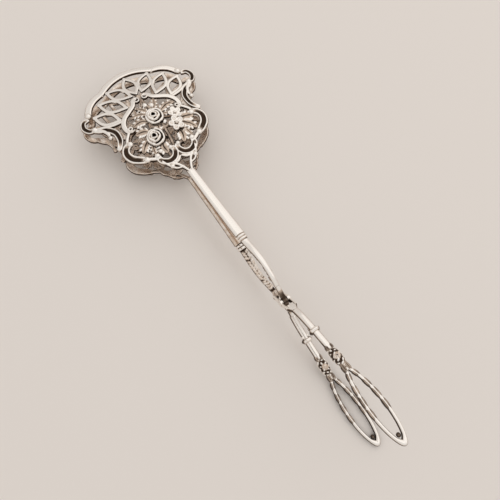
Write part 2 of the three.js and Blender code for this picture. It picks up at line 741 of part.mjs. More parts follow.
// Slotted box: two cheeks with bosses round the pin, and the solid ends that close the window between them
function box() {
  const stem = armBar(-JOINT_REACH, JOINT_REACH, BAR_STEPS, () => BAR_WIDTH, TONGUE_THICKNESS);
  const block = armBar(-BOX_REACH, BOX_REACH, SHORT_STEPS, () => 2 * BOX_HALF, BOX_THICKNESS);
  const across = () => 2 * WINDOW_HALF;
  const window = armBar(-WINDOW_REACH, WINDOW_REACH, SHORT_STEPS, across, BOX_THICKNESS * 2, squareSection);
  const bosses = [
    crossCylinder(BOX_BOSS_RADIUS, WINDOW_HALF, BOX_HALF),
    crossCylinder(BOX_BOSS_RADIUS, -BOX_HALF, -WINDOW_HALF),
  ];
  const hole = crossCylinder(HOLE_RADIUS, -2 * BOX_HALF, 2 * BOX_HALF);
  return join([stem.add(block).subtract(window), ...bosses]).subtract(hole);
}

function rivet() {
  const reach = BOX_HALF + PIN_CLEARANCE;
  const shaft = crossCylinder(PIN_RADIUS, -reach - PIN_CLEARANCE, reach + PIN_CLEARANCE);
  const radii = [RIVET_TOP_RADIUS, RIVET_HEAD_RADIUS];
  const head = new THREE.CylinderGeometry(...radii, RIVET_HEAD_HEIGHT, ROUND_SIDES);
  head.translate(0, reach + RIVET_HEAD_HEIGHT / 2, 0);
  const otherHead = head.clone().rotateX(Math.PI);
  return join([shaft, solid(head), solid(otherHead)]);
}

// One arm: the jaw on its upper side and the handle on its lower side
function armPieces(jointPiece) {
  return {
    ...jawPieces(),
    neck: neck(),
    collar: collar(),
    shank: shank(),
    ...jointPiece,
    handle_bar: handleBar(),
    bead_ring: beadRing(),
    handle_knot: knot(),
    handle_loop: handleLoop(),
    loop_bead: tipBead(),
  };
}

function addMesh(group, name, shape) {
  const mesh = new THREE.Mesh(geometryOf(shape), new THREE.MeshStandardMaterial(SILVER));
  mesh.name = name;
  group.add(mesh);
}

function arm(name, jointPiece) {
  const group = new THREE.Group();
  for (const [piece, shape] of Object.entries(armPieces(jointPiece))) {
    addMesh(group, `${name}_${piece}`, shape);
  }
  return group;
}

const upperArm = arm('upper', { tongue: tongue() });
const lowerArm = arm('lower', { box: box() });
lowerArm.rotation.x = Math.PI;

const tongs = new THREE.Group();
tongs.add(upperArm, lowerArm);
addMesh(tongs, 'pivot_rivet', rivet());
tongs.rotation.y = PITCH;

// Stand the tongs on the table with the origin under the middle of their outline
const part = new THREE.Group();
part.add(tongs);
part.updateMatrixWorld(true);
const outline = new THREE.Box3().setFromObject(part, true);
const middle = outline.getCenter(new THREE.Vector3());
tongs.position.set(-middle.x, -middle.y, -outline.min.z);

export default part;
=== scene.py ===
# Looks of the pastry tongs: fine castings in polished silver with oxidised recesses
import json
import math

import bpy
import numpy as np
from mathutils import Matrix, Vector
from mathutils.kdtree import KDTree


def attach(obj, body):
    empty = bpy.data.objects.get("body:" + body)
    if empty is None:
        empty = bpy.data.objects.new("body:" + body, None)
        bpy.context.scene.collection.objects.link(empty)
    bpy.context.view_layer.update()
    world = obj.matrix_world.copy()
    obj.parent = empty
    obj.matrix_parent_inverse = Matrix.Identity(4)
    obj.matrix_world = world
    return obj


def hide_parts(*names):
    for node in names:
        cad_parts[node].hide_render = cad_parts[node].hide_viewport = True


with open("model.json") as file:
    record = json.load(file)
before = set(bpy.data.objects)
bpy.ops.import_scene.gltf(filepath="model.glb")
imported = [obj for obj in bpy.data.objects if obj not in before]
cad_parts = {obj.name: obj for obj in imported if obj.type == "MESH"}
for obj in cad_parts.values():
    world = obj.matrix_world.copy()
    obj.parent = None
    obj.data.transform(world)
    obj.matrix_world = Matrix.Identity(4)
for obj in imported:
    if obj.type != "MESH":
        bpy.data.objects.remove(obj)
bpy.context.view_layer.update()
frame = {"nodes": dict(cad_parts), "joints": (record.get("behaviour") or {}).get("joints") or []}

MM = 0.001
FULL_TURN = 2 * math.pi

# Places along an arm in millimetres from the pivot
NECK_REACH = 72.4
COLLAR_REACH = 33.0
JOINT_REACH = 6.6
RING_REACH = 18.5
KNOT_REACH = 32.0
BEAD_REACH = 67.5
HANDLE_REACH = 72.0

# Side profile of an arm from its handle to its neck: reach from the pivot, rise above the middle plane
STATIONS = [
    (-72, -17.5), (-55, -16.9), (-42, -15.7), (-32, -13.6), (-20, -10.6), (-11, -7.4), (-5.5, -4.1), (0, 0),
    (5.5, 4.1), (11, 7.4), (19, 9.6), (33, 6.0), (50, 4.6),
]

# Jaw: the dome's plan and rise
RIM_LEVEL = 3.6
CROWN_RISE = 5.4
PLAN_CENTRE = 36.0
PLAN_NECK_SPAN = 36.3
PLAN_TIP_SPAN = 31.0
PLAN_HALF_SPAN = 30.0

# Sections of the castings
RIM_WIDTH = 4.0
RIB_WIDTH = 1.9
WEB_WIDTH = 3.0
SCROLL_WIDTH = 2.8
STEM_WIDTH = 1.8
LEAF_WIDTH = 4.0
ROSE_RADIUS = 4.6
BLOSSOM_RADIUS = 4.0
NECK_WIDTH = 4.7
NECK_TIP_WIDTH = 3.8
NECK_THICKNESS = 2.4
COLLAR_LENGTH = 3.4
BAR_WIDTH = 2.9
BAR_THICKNESS = 2.4
LOOP_WIDTH = 8.6
STRAND_WIDTH = 1.6
STRAND_THICKNESS = 2.2
TONGUE_WIDTH = 2.1
JOINT_THICKNESS = 2.4
CHEEK_WIDTH = 1.4
WINDOW_HALF = 1.25
BOX_HALF = WINDOW_HALF + CHEEK_WIDTH
BOX_REACH = 4.6

# Oxide of the silver and painted shade, from 0 on bright crests to 1 in dark hollows and shaded faces
# Painted shade on undersides and on faces turned towards the other arm
UNDERSIDE_SHADE = 0.42
# Painted shade along the side edges of the bars
EDGE_SHADE = 0.8
LEAF_OXIDE = 0.52
# Painted shade on the stems, darker than their oxide alone
STEM_SHADE = 0.6
PETAL_OXIDE = 0.28
# Painted shade on the shank's face towards the other arm
SHANK_INNER_SHADE = 0.85
SHANK_LEAF_OXIDE = 0.36
KNOT_ROSE_OXIDE = 0.42
BAR_LEAF_OXIDE = 0.62
LOOP_BEAD_OXIDE = 0.78
# Painted shade on the tongue and its eye inside the box's window
TONGUE_SHADE = 0.8
TONGUE_EYE_SHADE = 0.75

# Fineness of the cast surfaces
FINE_VOXEL = 0.16
FLOWER_VOXEL = 0.13
SOFTEN_FACTOR = 0.5
SOFTEN_ROUNDS = 2
SEED = 7


# The arm's frame: its middle plane holds the pivot and the mean of the two jaws
def node_mean(node):
    points = np.array([v.co for v in frame["nodes"][node].data.vertices], float)
    return points.mean(axis=0)


PIVOT = np.array(frame["joints"][0]["pos_m"])
AXIS = (node_mean("upper_jaw_rim") + node_mean("lower_jaw_rim")) / 2 - PIVOT
PITCH = math.atan2(-AXIS[2], AXIS[0])
UPPER = Matrix.Translation(PIVOT) @ Matrix.Rotation(PITCH, 4, "Y")
LOWER = UPPER @ Matrix.Rotation(math.pi, 4, "X")
ARMS = {"upper": UPPER, "lower": LOWER}


def dome(u, v):
    span = np.where(u < PLAN_CENTRE, PLAN_NECK_SPAN, PLAN_TIP_SPAN)
    q = ((u - PLAN_CENTRE) / span) ** 2 + (v / PLAN_HALF_SPAN) ** 2
    return RIM_LEVEL + CROWN_RISE * (1 - q) / (1 + q)


def on_jaw(u, v, height):
    """Points above the dome: reach from the neck's end, distance from the middle, height."""
    u, v, height = np.broadcast_arrays(np.asarray(u, float), v, height)
    return np.stack([NECK_REACH + u, v, dome(u, v) + height], axis=-1)


STATIONS.append((NECK_REACH, float(dome(np.array(0.0), np.array(0.0)))))
STATION_X = np.array([s[0] for s in STATIONS], float)
STATION_Z = np.array([s[1] for s in STATIONS], float)
RATES = np.diff(STATION_Z) / np.diff(STATION_X)
SLOPES = np.concatenate([
    RATES[:1],
    np.where(RATES[:-1] * RATES[1:] > 0, 2 * RATES[:-1] * RATES[1:] / (RATES[:-1] + RATES[1:]), 0),
    RATES[-1:],
])


def profile(x):
    """Rise of the arm's middle line: cubic spans through the stations, without overshoot."""
    x = np.asarray(x, float)
    i = np.clip(np.searchsorted(STATION_X, x) - 1, 0, len(RATES) - 1)
    run = STATION_X[i + 1] - STATION_X[i]
    t = (x - STATION_X[i]) / run
    start = (2 * t ** 3 - 3 * t ** 2 + 1) * STATION_Z[i] + (t ** 3 - 2 * t ** 2 + t) * run * SLOPES[i]
    end = (3 * t ** 2 - 2 * t ** 3) * STATION_Z[i + 1] + (t ** 3 - t ** 2) * run * SLOPES[i + 1]
    return start + end


def slope_at(x, step=0.1):
    return math.atan2(float(profile(x + step) - profile(x - step)), 2 * step)


def beside_arm(x, across, height, step=0.01):
    """Points beside the arm's middle line: reach, distance across, height square to the line."""
    x, across, height = np.broadcast_arrays(np.asarray(x, float), across, height)
    angle = np.arctan2(profile(x + step) - profile(x - step), 2 * step)
    return np.stack([x - height * np.sin(angle), across, profile(x) + height * np.cos(angle)], axis=-1)


# Shells: a shell is vertices, faces and a value of oxide and painted shade for each vertex
def skin(rings, oxide_and_shade, closed=False):
    count, size = rings.shape[:2]
    grid = np.arange(count * size).reshape(count, size)
    faces = []
    for i in range(count if closed else count - 1):
        here, there = grid[i], grid[(i + 1) % count]
        for j in range(size):
            k = (j + 1) % size
            faces.append((here[j], there[j], there[k], here[k]))
    if not closed:
        faces.append(tuple(grid[0]))
        faces.append(tuple(grid[-1][::-1]))
    return rings.reshape(-1, 3), faces, np.broadcast_to(oxide_and_shade, (count, size)).reshape(-1)


def round_angles(count):
    return np.linspace(0, FULL_TURN, count, endpoint=False)


def smooth_curve(points, count, steps=24):
    """Catmull-Rom curve through plan points, at even steps, with its unit tangents."""
    points = np.asarray(points, float)
    padded = np.vstack([2 * points[0] - points[1], points, 2 * points[-1] - points[-2]])
    fine = []
    for i in range(len(points) - 1):
        p0, p1, p2, p3 = padded[i:i + 4]
        for t in np.linspace(0, 1, steps, endpoint=False):
            fine.append(0.5 * (2 * p1 + (p2 - p0) * t + (2 * p0 - 5 * p1 + 4 * p2 - p3) * t ** 2
                               + (3 * p1 - p0 - 3 * p2 + p3) * t ** 3))
    fine.append(points[-1])
    fine = np.array(fine)
    lengths = np.concatenate([[0], np.cumsum(np.linalg.norm(np.diff(fine, axis=0), axis=1))])
    at = np.linspace(0, lengths[-1], count)
    curve = np.stack([np.interp(at, lengths, fine[:, k]) for k in range(points.shape[1])], axis=1)
    tangent = np.gradient(curve, axis=0)
    tangent /= np.linalg.norm(tangent, axis=1, keepdims=True)
    return curve, tangent


def ramp(value, low, high):
    t = np.clip((value - low) / (high - low), 0, 1)
    return t * t * (3 - 2 * t)


def swell(x, middle, length):
    t = np.clip(np.abs(x - middle) / (length / 2), 0, 1)
    return np.cos(np.pi * t / 2) ** 2


def fullness_along(t):
    """From 0 at both ends of a stroke to 1 at its middle."""
    return np.sqrt(np.clip(np.sin(np.pi * t), 0, 1))[:, None]


# Sections of a stroke: height and oxide at a share across it, by the stroke's fullness there
ACROSS = np.linspace(-1, 1, 21)
FOOT_SHARE = 0.8
END_RISE = 0.4
ROUND_EDGE = (0.58, 0.84)
BAND_EDGE = (0.7, 0.9)
CHANNEL_EDGE = (0.82, 0.96)
CHANNEL_LIP = (0.3, 0.58)
CHANNEL_FADE = (0.3, 0.9)
CHANNEL_DEPTH = 0.9
LEAF_EDGE = (0.72, 0.95)
CREASE_WIDTH = 0.13
CREASE_DEPTH = 0.5


def crown(a, power):
    """A section's height: flatter on top for a higher power."""
    return np.sqrt(np.clip(1 - a ** power, 0, 1))


def round_top(a, fullness):
    return crown(a, 2) + 0 * fullness, ramp(np.abs(a), *ROUND_EDGE) + 0 * fullness


# Stems: a round top darkened by painted shade
def stem_top(a, fullness):
    height, oxide_and_shade = round_top(a, fullness)
    return height, np.maximum(oxide_and_shade, STEM_SHADE)


def band_top(a, fullness):
    return crown(a, 4) + 0 * fullness, ramp(np.abs(a), *BAND_EDGE) + 0 * fullness


def channel_top(a, fullness):
    """Two raised lips with a hollow between them, dark in the hollow."""
    hollow = (1 - ramp(np.abs(a), *CHANNEL_LIP)) * ramp(fullness, *CHANNEL_FADE)
    return crown(a, 6) * (1 - CHANNEL_DEPTH * hollow), np.maximum(hollow, ramp(np.abs(a), *CHANNEL_EDGE))


def leaf_top(a, fullness):
    """A rounded blade with a crease along its middle."""
    crease = np.exp(-(a / CREASE_WIDTH) ** 2) * fullness
    oxide_and_shade = LEAF_OXIDE + (1 - LEAF_OXIDE) * np.maximum(crease, ramp(np.abs(a), *LEAF_EDGE))
    return crown(a, 2) * (1 - CREASE_DEPTH * crease), oxide_and_shade


def stroke_rings(half, upper_h, foot, oxide_and_shade):
    """Rings of a stroke: over its top from edge to edge, and back along a narrower foot in painted shade."""
    upper_a = half[:, None] * ACROSS
    lower_a = upper_a[:, ::-1][:, 1:-1] * FOOT_SHARE
    a = np.concatenate([upper_a, lower_a], axis=1)
    h = np.concatenate([upper_h, np.full_like(lower_a, foot)], axis=1)
    # The foot carries painted shade
    dark = np.concatenate([oxide_and_shade, np.full_like(lower_a, UNDERSIDE_SHADE)], axis=1)
    return a, h, dark


def jaw_stroke(points, width, rise, sink, top=round_top, ends=0.5, count=40, lift=0.0):
    """A cast stroke that lies on the dome along a plan curve."""
    curve, tangent = smooth_curve(points, count)
    fullness = fullness_along(np.linspace(0, 1, count))
    shape = ends + (1 - ends) * fullness[:, 0]
    height, oxide_and_shade = top(ACROSS[None, :], fullness)
    upper_h = lift + rise * height * (END_RISE + (1 - END_RISE) * shape[:, None])
    a, h, dark = stroke_rings(width / 2 * shape, upper_h, lift - sink, oxide_and_shade)
    u = curve[:, :1] - tangent[:, 1:] * a
    v = curve[:, 1:] + tangent[:, :1] * a
    return skin(on_jaw(u, v, h), dark)


BEAD_WAIST = (-0.1, 0.3)
BEAD_UNDERSIDE = -0.4
POLE_GAP = 0.12


def ellipsoid(centre, radii, turn=None, oxide_and_shade=None, sides=18, rings=12):
    """A petal, bud or bead: bright on top, dark round its waist, in painted shade beneath, or of one value of
    oxide and painted shade.
    """
    angle = round_angles(sides)
    lift = np.linspace(-np.pi / 2 + POLE_GAP, np.pi / 2 - POLE_GAP, rings)
    x = np.cos(lift)[:, None] * np.cos(angle) * radii[0]
    y = np.cos(lift)[:, None] * np.sin(angle) * radii[1]
    z = np.repeat(np.sin(lift)[:, None], sides, axis=1) * radii[2]
    points = np.stack([x, y, z], axis=-1)
    if turn is not None:
        points = points @ np.array(turn.to_3x3()).T
    if oxide_and_shade is None:
        level = np.sin(lift)[:, None]
        # Painted shade below the level BEAD_UNDERSIDE
        oxide_and_shade = np.where(level < BEAD_UNDERSIDE, UNDERSIDE_SHADE, 1 - ramp(level, *BEAD_WAIST))
    return skin(points + np.asarray(centre, float), oxide_and_shade)


def moved(shell, matrix):
    vertices, faces, oxide_and_shade = shell
    m = np.array(matrix)
    return vertices @ m[:3, :3].T + m[:3, 3], faces, oxide_and_shade


def dulled(shell, least):
    vertices, faces, oxide_and_shade = shell
    return vertices, faces, np.maximum(oxide_and_shade, least)


def facing(normal):
    """A turn that points a flower's top along a direction."""
    return Vector((0, 0, 1)).rotation_difference(normal).to_matrix().to_4x4()


def mirrored(points):
    return [(u, -v) for u, v in points]


# Pieces from shells
def joined(shells):
    vertices = np.concatenate([s[0] for s in shells])
    oxide_and_shade = np.concatenate([s[2] for s in shells])
    faces = []
    offset = 0
    for shell in shells:
        faces += [tuple(int(i) + offset for i in face) for face in shell[1]]
        offset += len(shell[0])
    return vertices, faces, oxide_and_shade


def set_oxide_and_shade(mesh, values):
    attribute = mesh.attributes.new("oxide_and_shade", "FLOAT", "POINT")
    attribute.data.foreach_set("value", np.asarray(values, np.float32))


def plain_mesh(name, shells):
    vertices, faces, oxide_and_shade = joined(shells)
    mesh = bpy.data.meshes.new(name)
    mesh.from_pydata(vertices.tolist(), [], faces)
    mesh.validate()
    set_oxide_and_shade(mesh, oxide_and_shade)
    return mesh


def cast_mesh(name, shells, voxel):
    """One casting: overlapping shells fused on a fine grid and softened, with oxide and painted shade carried
    over.
    """
    rough = plain_mesh(name + "_rough", shells)
    worker = bpy.data.objects.new(name + "_worker", rough)
    bpy.context.scene.collection.objects.link(worker)
    remesh = worker.modifiers.new("fuse", "REMESH")
    remesh.mode = "VOXEL"
    remesh.voxel_size = voxel
    soften = worker.modifiers.new("soften", "SMOOTH")
    soften.factor = SOFTEN_FACTOR
    soften.iterations = SOFTEN_ROUNDS
    graph = bpy.context.evaluated_depsgraph_get()
    mesh = bpy.data.meshes.new_from_object(worker.evaluated_get(graph))
    mesh.name = name
    vertices, _, oxide_and_shade = joined(shells)
    tree = KDTree(len(vertices))
    for i, point in enumerate(vertices):
        tree.insert(point, i)
    tree.balance()
    nearest = [tree.find(v.co)[1] for v in mesh.vertices]
    bpy.data.objects.remove(worker)
    bpy.data.meshes.remove(rough)
    if "oxide_and_shade" in mesh.attributes:
        mesh.attributes.remove(mesh.attributes["oxide_and_shade"])
    set_oxide_and_shade(mesh, oxide_and_shade[nearest])
    return mesh


def finished(mesh):
    """The casting at its real size, smooth and in silver."""
    mesh.transform(Matrix.Scale(MM, 4))
    mesh.shade_smooth()
    mesh.materials.clear()
    mesh.materials.append(SILVER)
    return mesh


def add_piece(mesh, node, body, matrix):
    """One casting, standing for its solid."""
    obj = bpy.data.objects.new(f"{node}_silver", mesh)
    bpy.context.scene.collection.objects.link(obj)
    obj.matrix_world = matrix
    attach(obj, body)
    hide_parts(node)


def place(mesh, piece, arms=("upper", "lower")):
    """The same casting on each arm that has it."""
    finished(mesh)
    for arm in arms:
        add_piece(mesh, f"{arm}_{piece}", f"{arm}_arm", ARMS[arm])


# Silver: bright on the crests, oxidised in the hollows, and darkened by painted shade where the shells carry
# it
BRIGHT_COLOUR = (0.915, 0.865, 0.81, 1)
DULL_COLOUR = (0.65, 0.525, 0.425, 1)
DARK_COLOUR = (0.053, 0.034, 0.023, 1)
DULL_OXIDE = 0.4
HOLLOW_REACH = 2.0 * MM
HOLLOW_SAMPLES = 8
HOLLOW_RANGE = (0.32, 0.84)
OXIDE_AND_SHADE_RANGE = (0.15, 0.9)
ROUGHNESS_RANGE = (0.14, 0.45)
PATCH_SCALE = 420.0
PATCH_DETAIL = 5.0
PATCH_DEPTH = 0.5
GRAIN_SCALE = 1500.0
GRAIN_DETAIL = 3.0
GRAIN_STRENGTH = 0.06
GRAIN_HEIGHT = 0.1 * MM


def noise(nodes, links, scale, detail):
    """Uneven values that stay with the casting."""
    spot = nodes.new("ShaderNodeTexCoord")
    texture = nodes.new("ShaderNodeTexNoise")
    texture.inputs["Scale"].default_value = scale
    texture.inputs["Detail"].default_value = detail
    links.new(spot.outputs["Object"], texture.inputs["Vector"])
    return texture.outputs["Fac"]


def mapped(nodes, links, value, old_range, new_range):
    stretch = nodes.new("ShaderNodeMapRange")
    ends = zip(("From Min", "From Max", "To Min", "To Max"), (*old_range, *new_range))
    for name, number in ends:
        stretch.inputs[name].default_value = number
    links.new(value, stretch.inputs["Value"])
    return stretch


def combined(nodes, links, operation, first, second):
    maths = nodes.new("ShaderNodeMath")
    maths.operation = operation
    links.new(first, maths.inputs[0])
    links.new(second, maths.inputs[1])
    return maths


def oxide_and_shade_value(nodes, links):
    """Oxide and painted shade by the casting's form, oxide in its hollows, uneven in patches."""
    mark = nodes.new("ShaderNodeAttribute")
    mark.attribute_name = "oxide_and_shade"
    hollow = nodes.new("ShaderNodeAmbientOcclusion")
    hollow.inputs["Distance"].default_value = HOLLOW_REACH
    hollow.samples = HOLLOW_SAMPLES
    shade = mapped(nodes, links, hollow.outputs["AO"], HOLLOW_RANGE, (1.0, 0.0))
    both = combined(nodes, links, "MAXIMUM", mark.outputs["Fac"], shade.outputs["Result"])
    uneven = nodes.new("ShaderNodeMath")
    uneven.operation = "MULTIPLY_ADD"
    uneven.inputs[1].default_value = PATCH_DEPTH
    uneven.inputs[2].default_value = -PATCH_DEPTH / 2
    links.new(noise(nodes, links, PATCH_SCALE, PATCH_DETAIL), uneven.inputs[0])
    total = combined(nodes, links, "ADD", both.outputs["Value"], uneven.outputs["Value"])
    total.use_clamp = True
    edge = mapped(nodes, links, total.outputs["Value"], OXIDE_AND_SHADE_RANGE, (0.0, 1.0))
    edge.interpolation_type = "SMOOTHSTEP"
    return edge.outputs["Result"]


def silver():
    material = bpy.data.materials.new("silver")
    material.use_nodes = True
    nodes, links = material.node_tree.nodes, material.node_tree.links
    shader = nodes["Principled BSDF"]
    shader.inputs["Metallic"].default_value = 1.0
    oxide_and_shade = oxide_and_shade_value(nodes, links)
    colour = nodes.new("ShaderNodeValToRGB")
    stops = colour.color_ramp.elements
    stops[0].color = BRIGHT_COLOUR
    stops[1].color = DARK_COLOUR
    dull = stops.new(DULL_OXIDE)
    dull.color = DULL_COLOUR
    links.new(oxide_and_shade, colour.inputs["Fac"])
    links.new(colour.outputs["Color"], shader.inputs["Base Color"])
    rough = mapped(nodes, links, oxide_and_shade, (0.0, 1.0), ROUGHNESS_RANGE)
    links.new(rough.outputs["Result"], shader.inputs["Roughness"])
    bump = nodes.new("ShaderNodeBump")
    bump.inputs["Strength"].default_value = GRAIN_STRENGTH
    bump.inputs["Distance"].default_value = GRAIN_HEIGHT
    links.new(noise(nodes, links, GRAIN_SCALE, GRAIN_DETAIL), bump.inputs["Height"])
    links.new(bump.outputs["Normal"], shader.inputs["Normal"])
    return material


SILVER = silver()


# Jaw rim: a plain cushioned band in three lobes, with a knuckle where they meet, ended by beads
RIM_REACH = 67.0
RIM_NOTCH = (62.06, 14.25)
RIM_BEAD = (54.3, 25.2)
SIDE_LOBE_CONTROL = (61.6, 22.2)
RIM_RISE = 1.1
RIM_SINK = 1.0
RIM_ENDS = 0.88
RIM_BEAD_RADII = (1.6, 1.6, 1.5)
RIM_BEAD_LIFT = 0.5
KNUCKLE_RADII = (1.75, 1.75, 1.0)


def bezier(a, b, c, count=13):
    t = np.linspace(0, 1, count)[:, None]
    return (1 - t) ** 2 * np.array(a) + 2 * t * (1 - t) * np.array(b) + t ** 2 * np.array(c)


def jaw_rim():
    notch_right = (RIM_NOTCH[0], -RIM_NOTCH[1])
    middle = bezier(RIM_NOTCH, (2 * RIM_REACH - RIM_NOTCH[0], 0), notch_right)
    side = bezier(RIM_NOTCH, SIDE_LOBE_CONTROL, RIM_BEAD)
    lobes = [middle, side, np.array(mirrored(side))]
    shells = [jaw_stroke(lobe, RIM_WIDTH, RIM_RISE, RIM_SINK, band_top, RIM_ENDS, 60) for lobe in lobes]
    for sign in (1, -1):
        bead = on_jaw(RIM_BEAD[0], sign * RIM_BEAD[1], RIM_BEAD_LIFT)
        knuckle = on_jaw(RIM_NOTCH[0], sign * RIM_NOTCH[1], 0)
        shells.append(ellipsoid(bead, RIM_BEAD_RADII))
        shells.append(ellipsoid(knuckle, KNUCKLE_RADII, oxide_and_shade=0.0))
    return shells


# Fan lattice: ribs round pointed-oval openings, joined by webs
RIB_OVERRUN = 0.05
RIB_RISE = 0.8
RIB_SINK = 0.6
RIB_ENDS = 0.95
WEB_SHARES = (0.3, 0.5, 0.7)
WEB_RISE = 0.5
WEB_SINK = 0.45
WEB_ENDS = 0.9
# Openings of the left half: middle, turn in degrees, length, width
SIDE_LENSES = [
    ((46.9, 18.8), 43, 13.0, 6.2),
    ((51.6, 13.1), 42, 14.4, 6.6),
    ((56.1, 7.2), 40, 12.8, 6.2),
]
MIDDLE_LENS = ((57.6, 0.0), 0, 12.4, 6.2)
OTHER_LENSES = [((u, -v), -turn, length, width) for (u, v), turn, length, width in reversed(SIDE_LENSES)]
LENSES = [*SIDE_LENSES, MIDDLE_LENS, *OTHER_LENSES]


def jaw_lattice():
    shells = []
    for (cu, cv), turn, length, width in LENSES:
        angle = math.radians(turn)
        t = np.linspace(-RIB_OVERRUN, 1 + RIB_OVERRUN, 15)
        along = length * (t - 0.5)
        for edge in (1, -1):
            out = edge * width / 2 * np.sin(np.pi * t)
            u = cu + along * math.cos(angle) - out * math.sin(angle)
            v = cv + along * math.sin(angle) + out * math.cos(angle)
            rib = np.stack([u, v], axis=1)
            shells.append(jaw_stroke(rib, RIB_WIDTH, RIB_RISE, RIB_SINK, band_top, RIB_ENDS, 36))
    for one, other in zip(LENSES[:-1], LENSES[1:]):
        a, b = np.array(one[0]), np.array(other[0])
        web = [a + share * (b - a) for share in WEB_SHARES]
        shells.append(jaw_stroke(web, WEB_WIDTH, WEB_RISE, WEB_SINK, band_top, WEB_ENDS, 12))
    return shells


# Scrollwork of the left half: plan points, share of SCROLL_WIDTH, section
SCROLLS = [
    ([(48.6, 1.4), (47.8, 3.8), (45, 5.4), (43.2, 8.6), (41.2, 12.2), (38, 14.4), (34.6, 14.4), (32.6, 12.4)],
     1.05, band_top),
    ([(52.8, 26), (52.4, 29), (49.4, 30.2), (46.4, 28.8), (45.4, 26)], 1.1, channel_top),
    ([(46, 27.4), (43.8, 25), (41.6, 21.8), (37.8, 19.4), (33.4, 19.4), (30.8, 20.8), (29, 22.6)],
     1.2, channel_top),
    ([(45.8, 28), (44.4, 25.6), (42, 23.4), (39.2, 22.4), (36.8, 22.6)], 0.75, round_top),
    ([(45.4, 25.4), (42.6, 20), (41.2, 16.2), (40.4, 12.4)], 0.7, round_top),
    ([(33.6, 14.2), (31, 16.8), (28.4, 18.2)], 0.7, round_top),
    ([(28.4, 16.6), (27.6, 19.4), (24.8, 20.8), (21.4, 19.8), (18.8, 17), (17, 14)], 1.55, channel_top),
    ([(18.2, 16), (16.6, 13), (15.2, 10.6), (14.6, 8.4)], 0.75, round_top),
    ([(16.4, 9.6), (13, 8.9), (11, 5.8), (11.7, 2.6), (14.6, 0.9), (16.8, 2)], 1.3, channel_top),
    ([(1.7, 0.4), (4.4, 1.5), (7.4, 3.2), (9.4, 5.4)], 0.6, round_top),
    ([(9, 4.2), (9.3, 2.2), (10.9, 0.2)], 0.55, round_top),
    ([(5.6, 2.6), (6.6, 5.2), (9.4, 7.4), (13, 9)], 0.45, round_top),
]
SCROLL_RISE = 1.1
SCROLL_SINK = 0.9
SCROLL_ENDS = 0.62
# Round ends of the scrolls: place and radius
VOLUTES = [
    (28.2, 16.8, 1.5), (17.2, 14.2, 1.6), (45.6, 26.4, 1.4), (16.2, 9.4, 1.4),
    (16.6, 2, 1.2), (8.2, 6.2, 1.2), (36.8, 22.4, 1.1),
]
VOLUTE_HEIGHT = 1.1
VOLUTE_LIFT = 0.5
# Curled ends of the inner bands: place, first angle and turn in degrees
CURLS = [((46.8, 2.4), 20, -430), ((34.2, 12.6), 230, -430)]
CURL_RADIUS = 1.75
CURL_TIGHTENING = 0.8
CURL_WIDTH = 1.15
CURL_RISE = 1.3
CURL_SINK = 0.7
CURL_ENDS = 0.7


def curl(middle, start, turn):
    """A band's end wound into a small spiral."""
    t = np.linspace(0, 1, 13)
    angle = np.radians(start + turn * t)
    r = CURL_RADIUS * (1 - CURL_TIGHTENING * t)
    return np.stack([middle[0] + r * np.cos(angle), middle[1] + r * np.sin(angle)], axis=1)


def jaw_scrolls():
    shells = []
    for points, share, top in SCROLLS:
        width = SCROLL_WIDTH * share
        for side in (points, mirrored(points)):
            shells.append(jaw_stroke(side, width, SCROLL_RISE, SCROLL_SINK, top, SCROLL_ENDS, 56))
    for u, v, radius in VOLUTES:
        for sign in (1, -1):
            shells.append(ellipsoid(on_jaw(u, sign * v, VOLUTE_LIFT), (radius, radius, VOLUTE_HEIGHT)))
    for row in CURLS:
        points = curl(*row)
        for side in (points, mirrored(points)):
            shells.append(jaw_stroke(side, CURL_WIDTH, CURL_RISE, CURL_SINK, round_top, CURL_ENDS, 60))
    return shells


# Parts of flowers
LIP_FLANK = (0.1, 0.55)
PETAL_FLANK = (0.05, 0.45)
PETAL_START = 0.08
PETAL_SPAN = 0.84


def torus(radius, tube, height, rise, sides=48):
    """A rolled lip: dark on its inner and outer flanks."""
    angle = round_angles(sides)
    turn = round_angles(16)
    r = radius + tube * np.cos(turn)
    x = np.cos(angle)[:, None] * r
    y = np.sin(angle)[:, None] * r
    z = height + rise * np.sin(turn) + 0 * angle[:, None]
    return skin(np.stack([x, y, z], axis=-1), 1 - ramp(np.sin(turn), *LIP_FLANK), closed=True)


def petal_lip(centre, radius, tube, height, rise, start, sweep, inward):
    """A petal's rolled edge: an arc that draws in under the next one, dark on both flanks."""
    t = np.linspace(0, 1, 36)
    angle = start + sweep * t
    taper = fullness_along(PETAL_START + PETAL_SPAN * t)
    turn = round_angles(18)
    r = (radius - inward * t)[:, None] + tube * taper * np.cos(turn)
    x = centre[0] + np.cos(angle)[:, None] * r
    y = centre[1] + np.sin(angle)[:, None] * r
    z = height + rise * taper * np.sin(turn)
    return skin(np.stack([x, y, z], axis=-1), 1 - ramp(np.sin(turn), *PETAL_FLANK)[None, :])


def flower_middle(sizes, unit, height, oxide_and_shade=1.0, sides=18, rings=12):
    """A bead in a flower's middle: half width in units, level and rise in shares of the height."""
    half, level, rise = sizes
    radii = (half * unit, half * unit, rise * height)
    return ellipsoid((0, 0, level * height), radii, oxide_and_shade=oxide_and_shade, sides=sides, rings=rings)


# Small rose: lengths in quarters of its radius, levels and rises in shares of its height
ROSETTE_PETALS = 5
ROSETTE_TILT = 0.15
ROSETTE_PETAL_RISE = 0.26
ROSETTE_HEART = (3.0, 0.1, 0.16)
# Rolled lip of a small rose: radius, half width, level, rise
ROSETTE_LIP = (1.2, 0.55, 0.72, 0.28)
# Petal rings of a small rose: reach, half length, half width, level, first angle
ROSETTE_RINGS = [
    (2.95, 1.25, 2.0, 0.34, 0.63),
    (2.55, 1.05, 1.8, 0.52, 0.0),
]


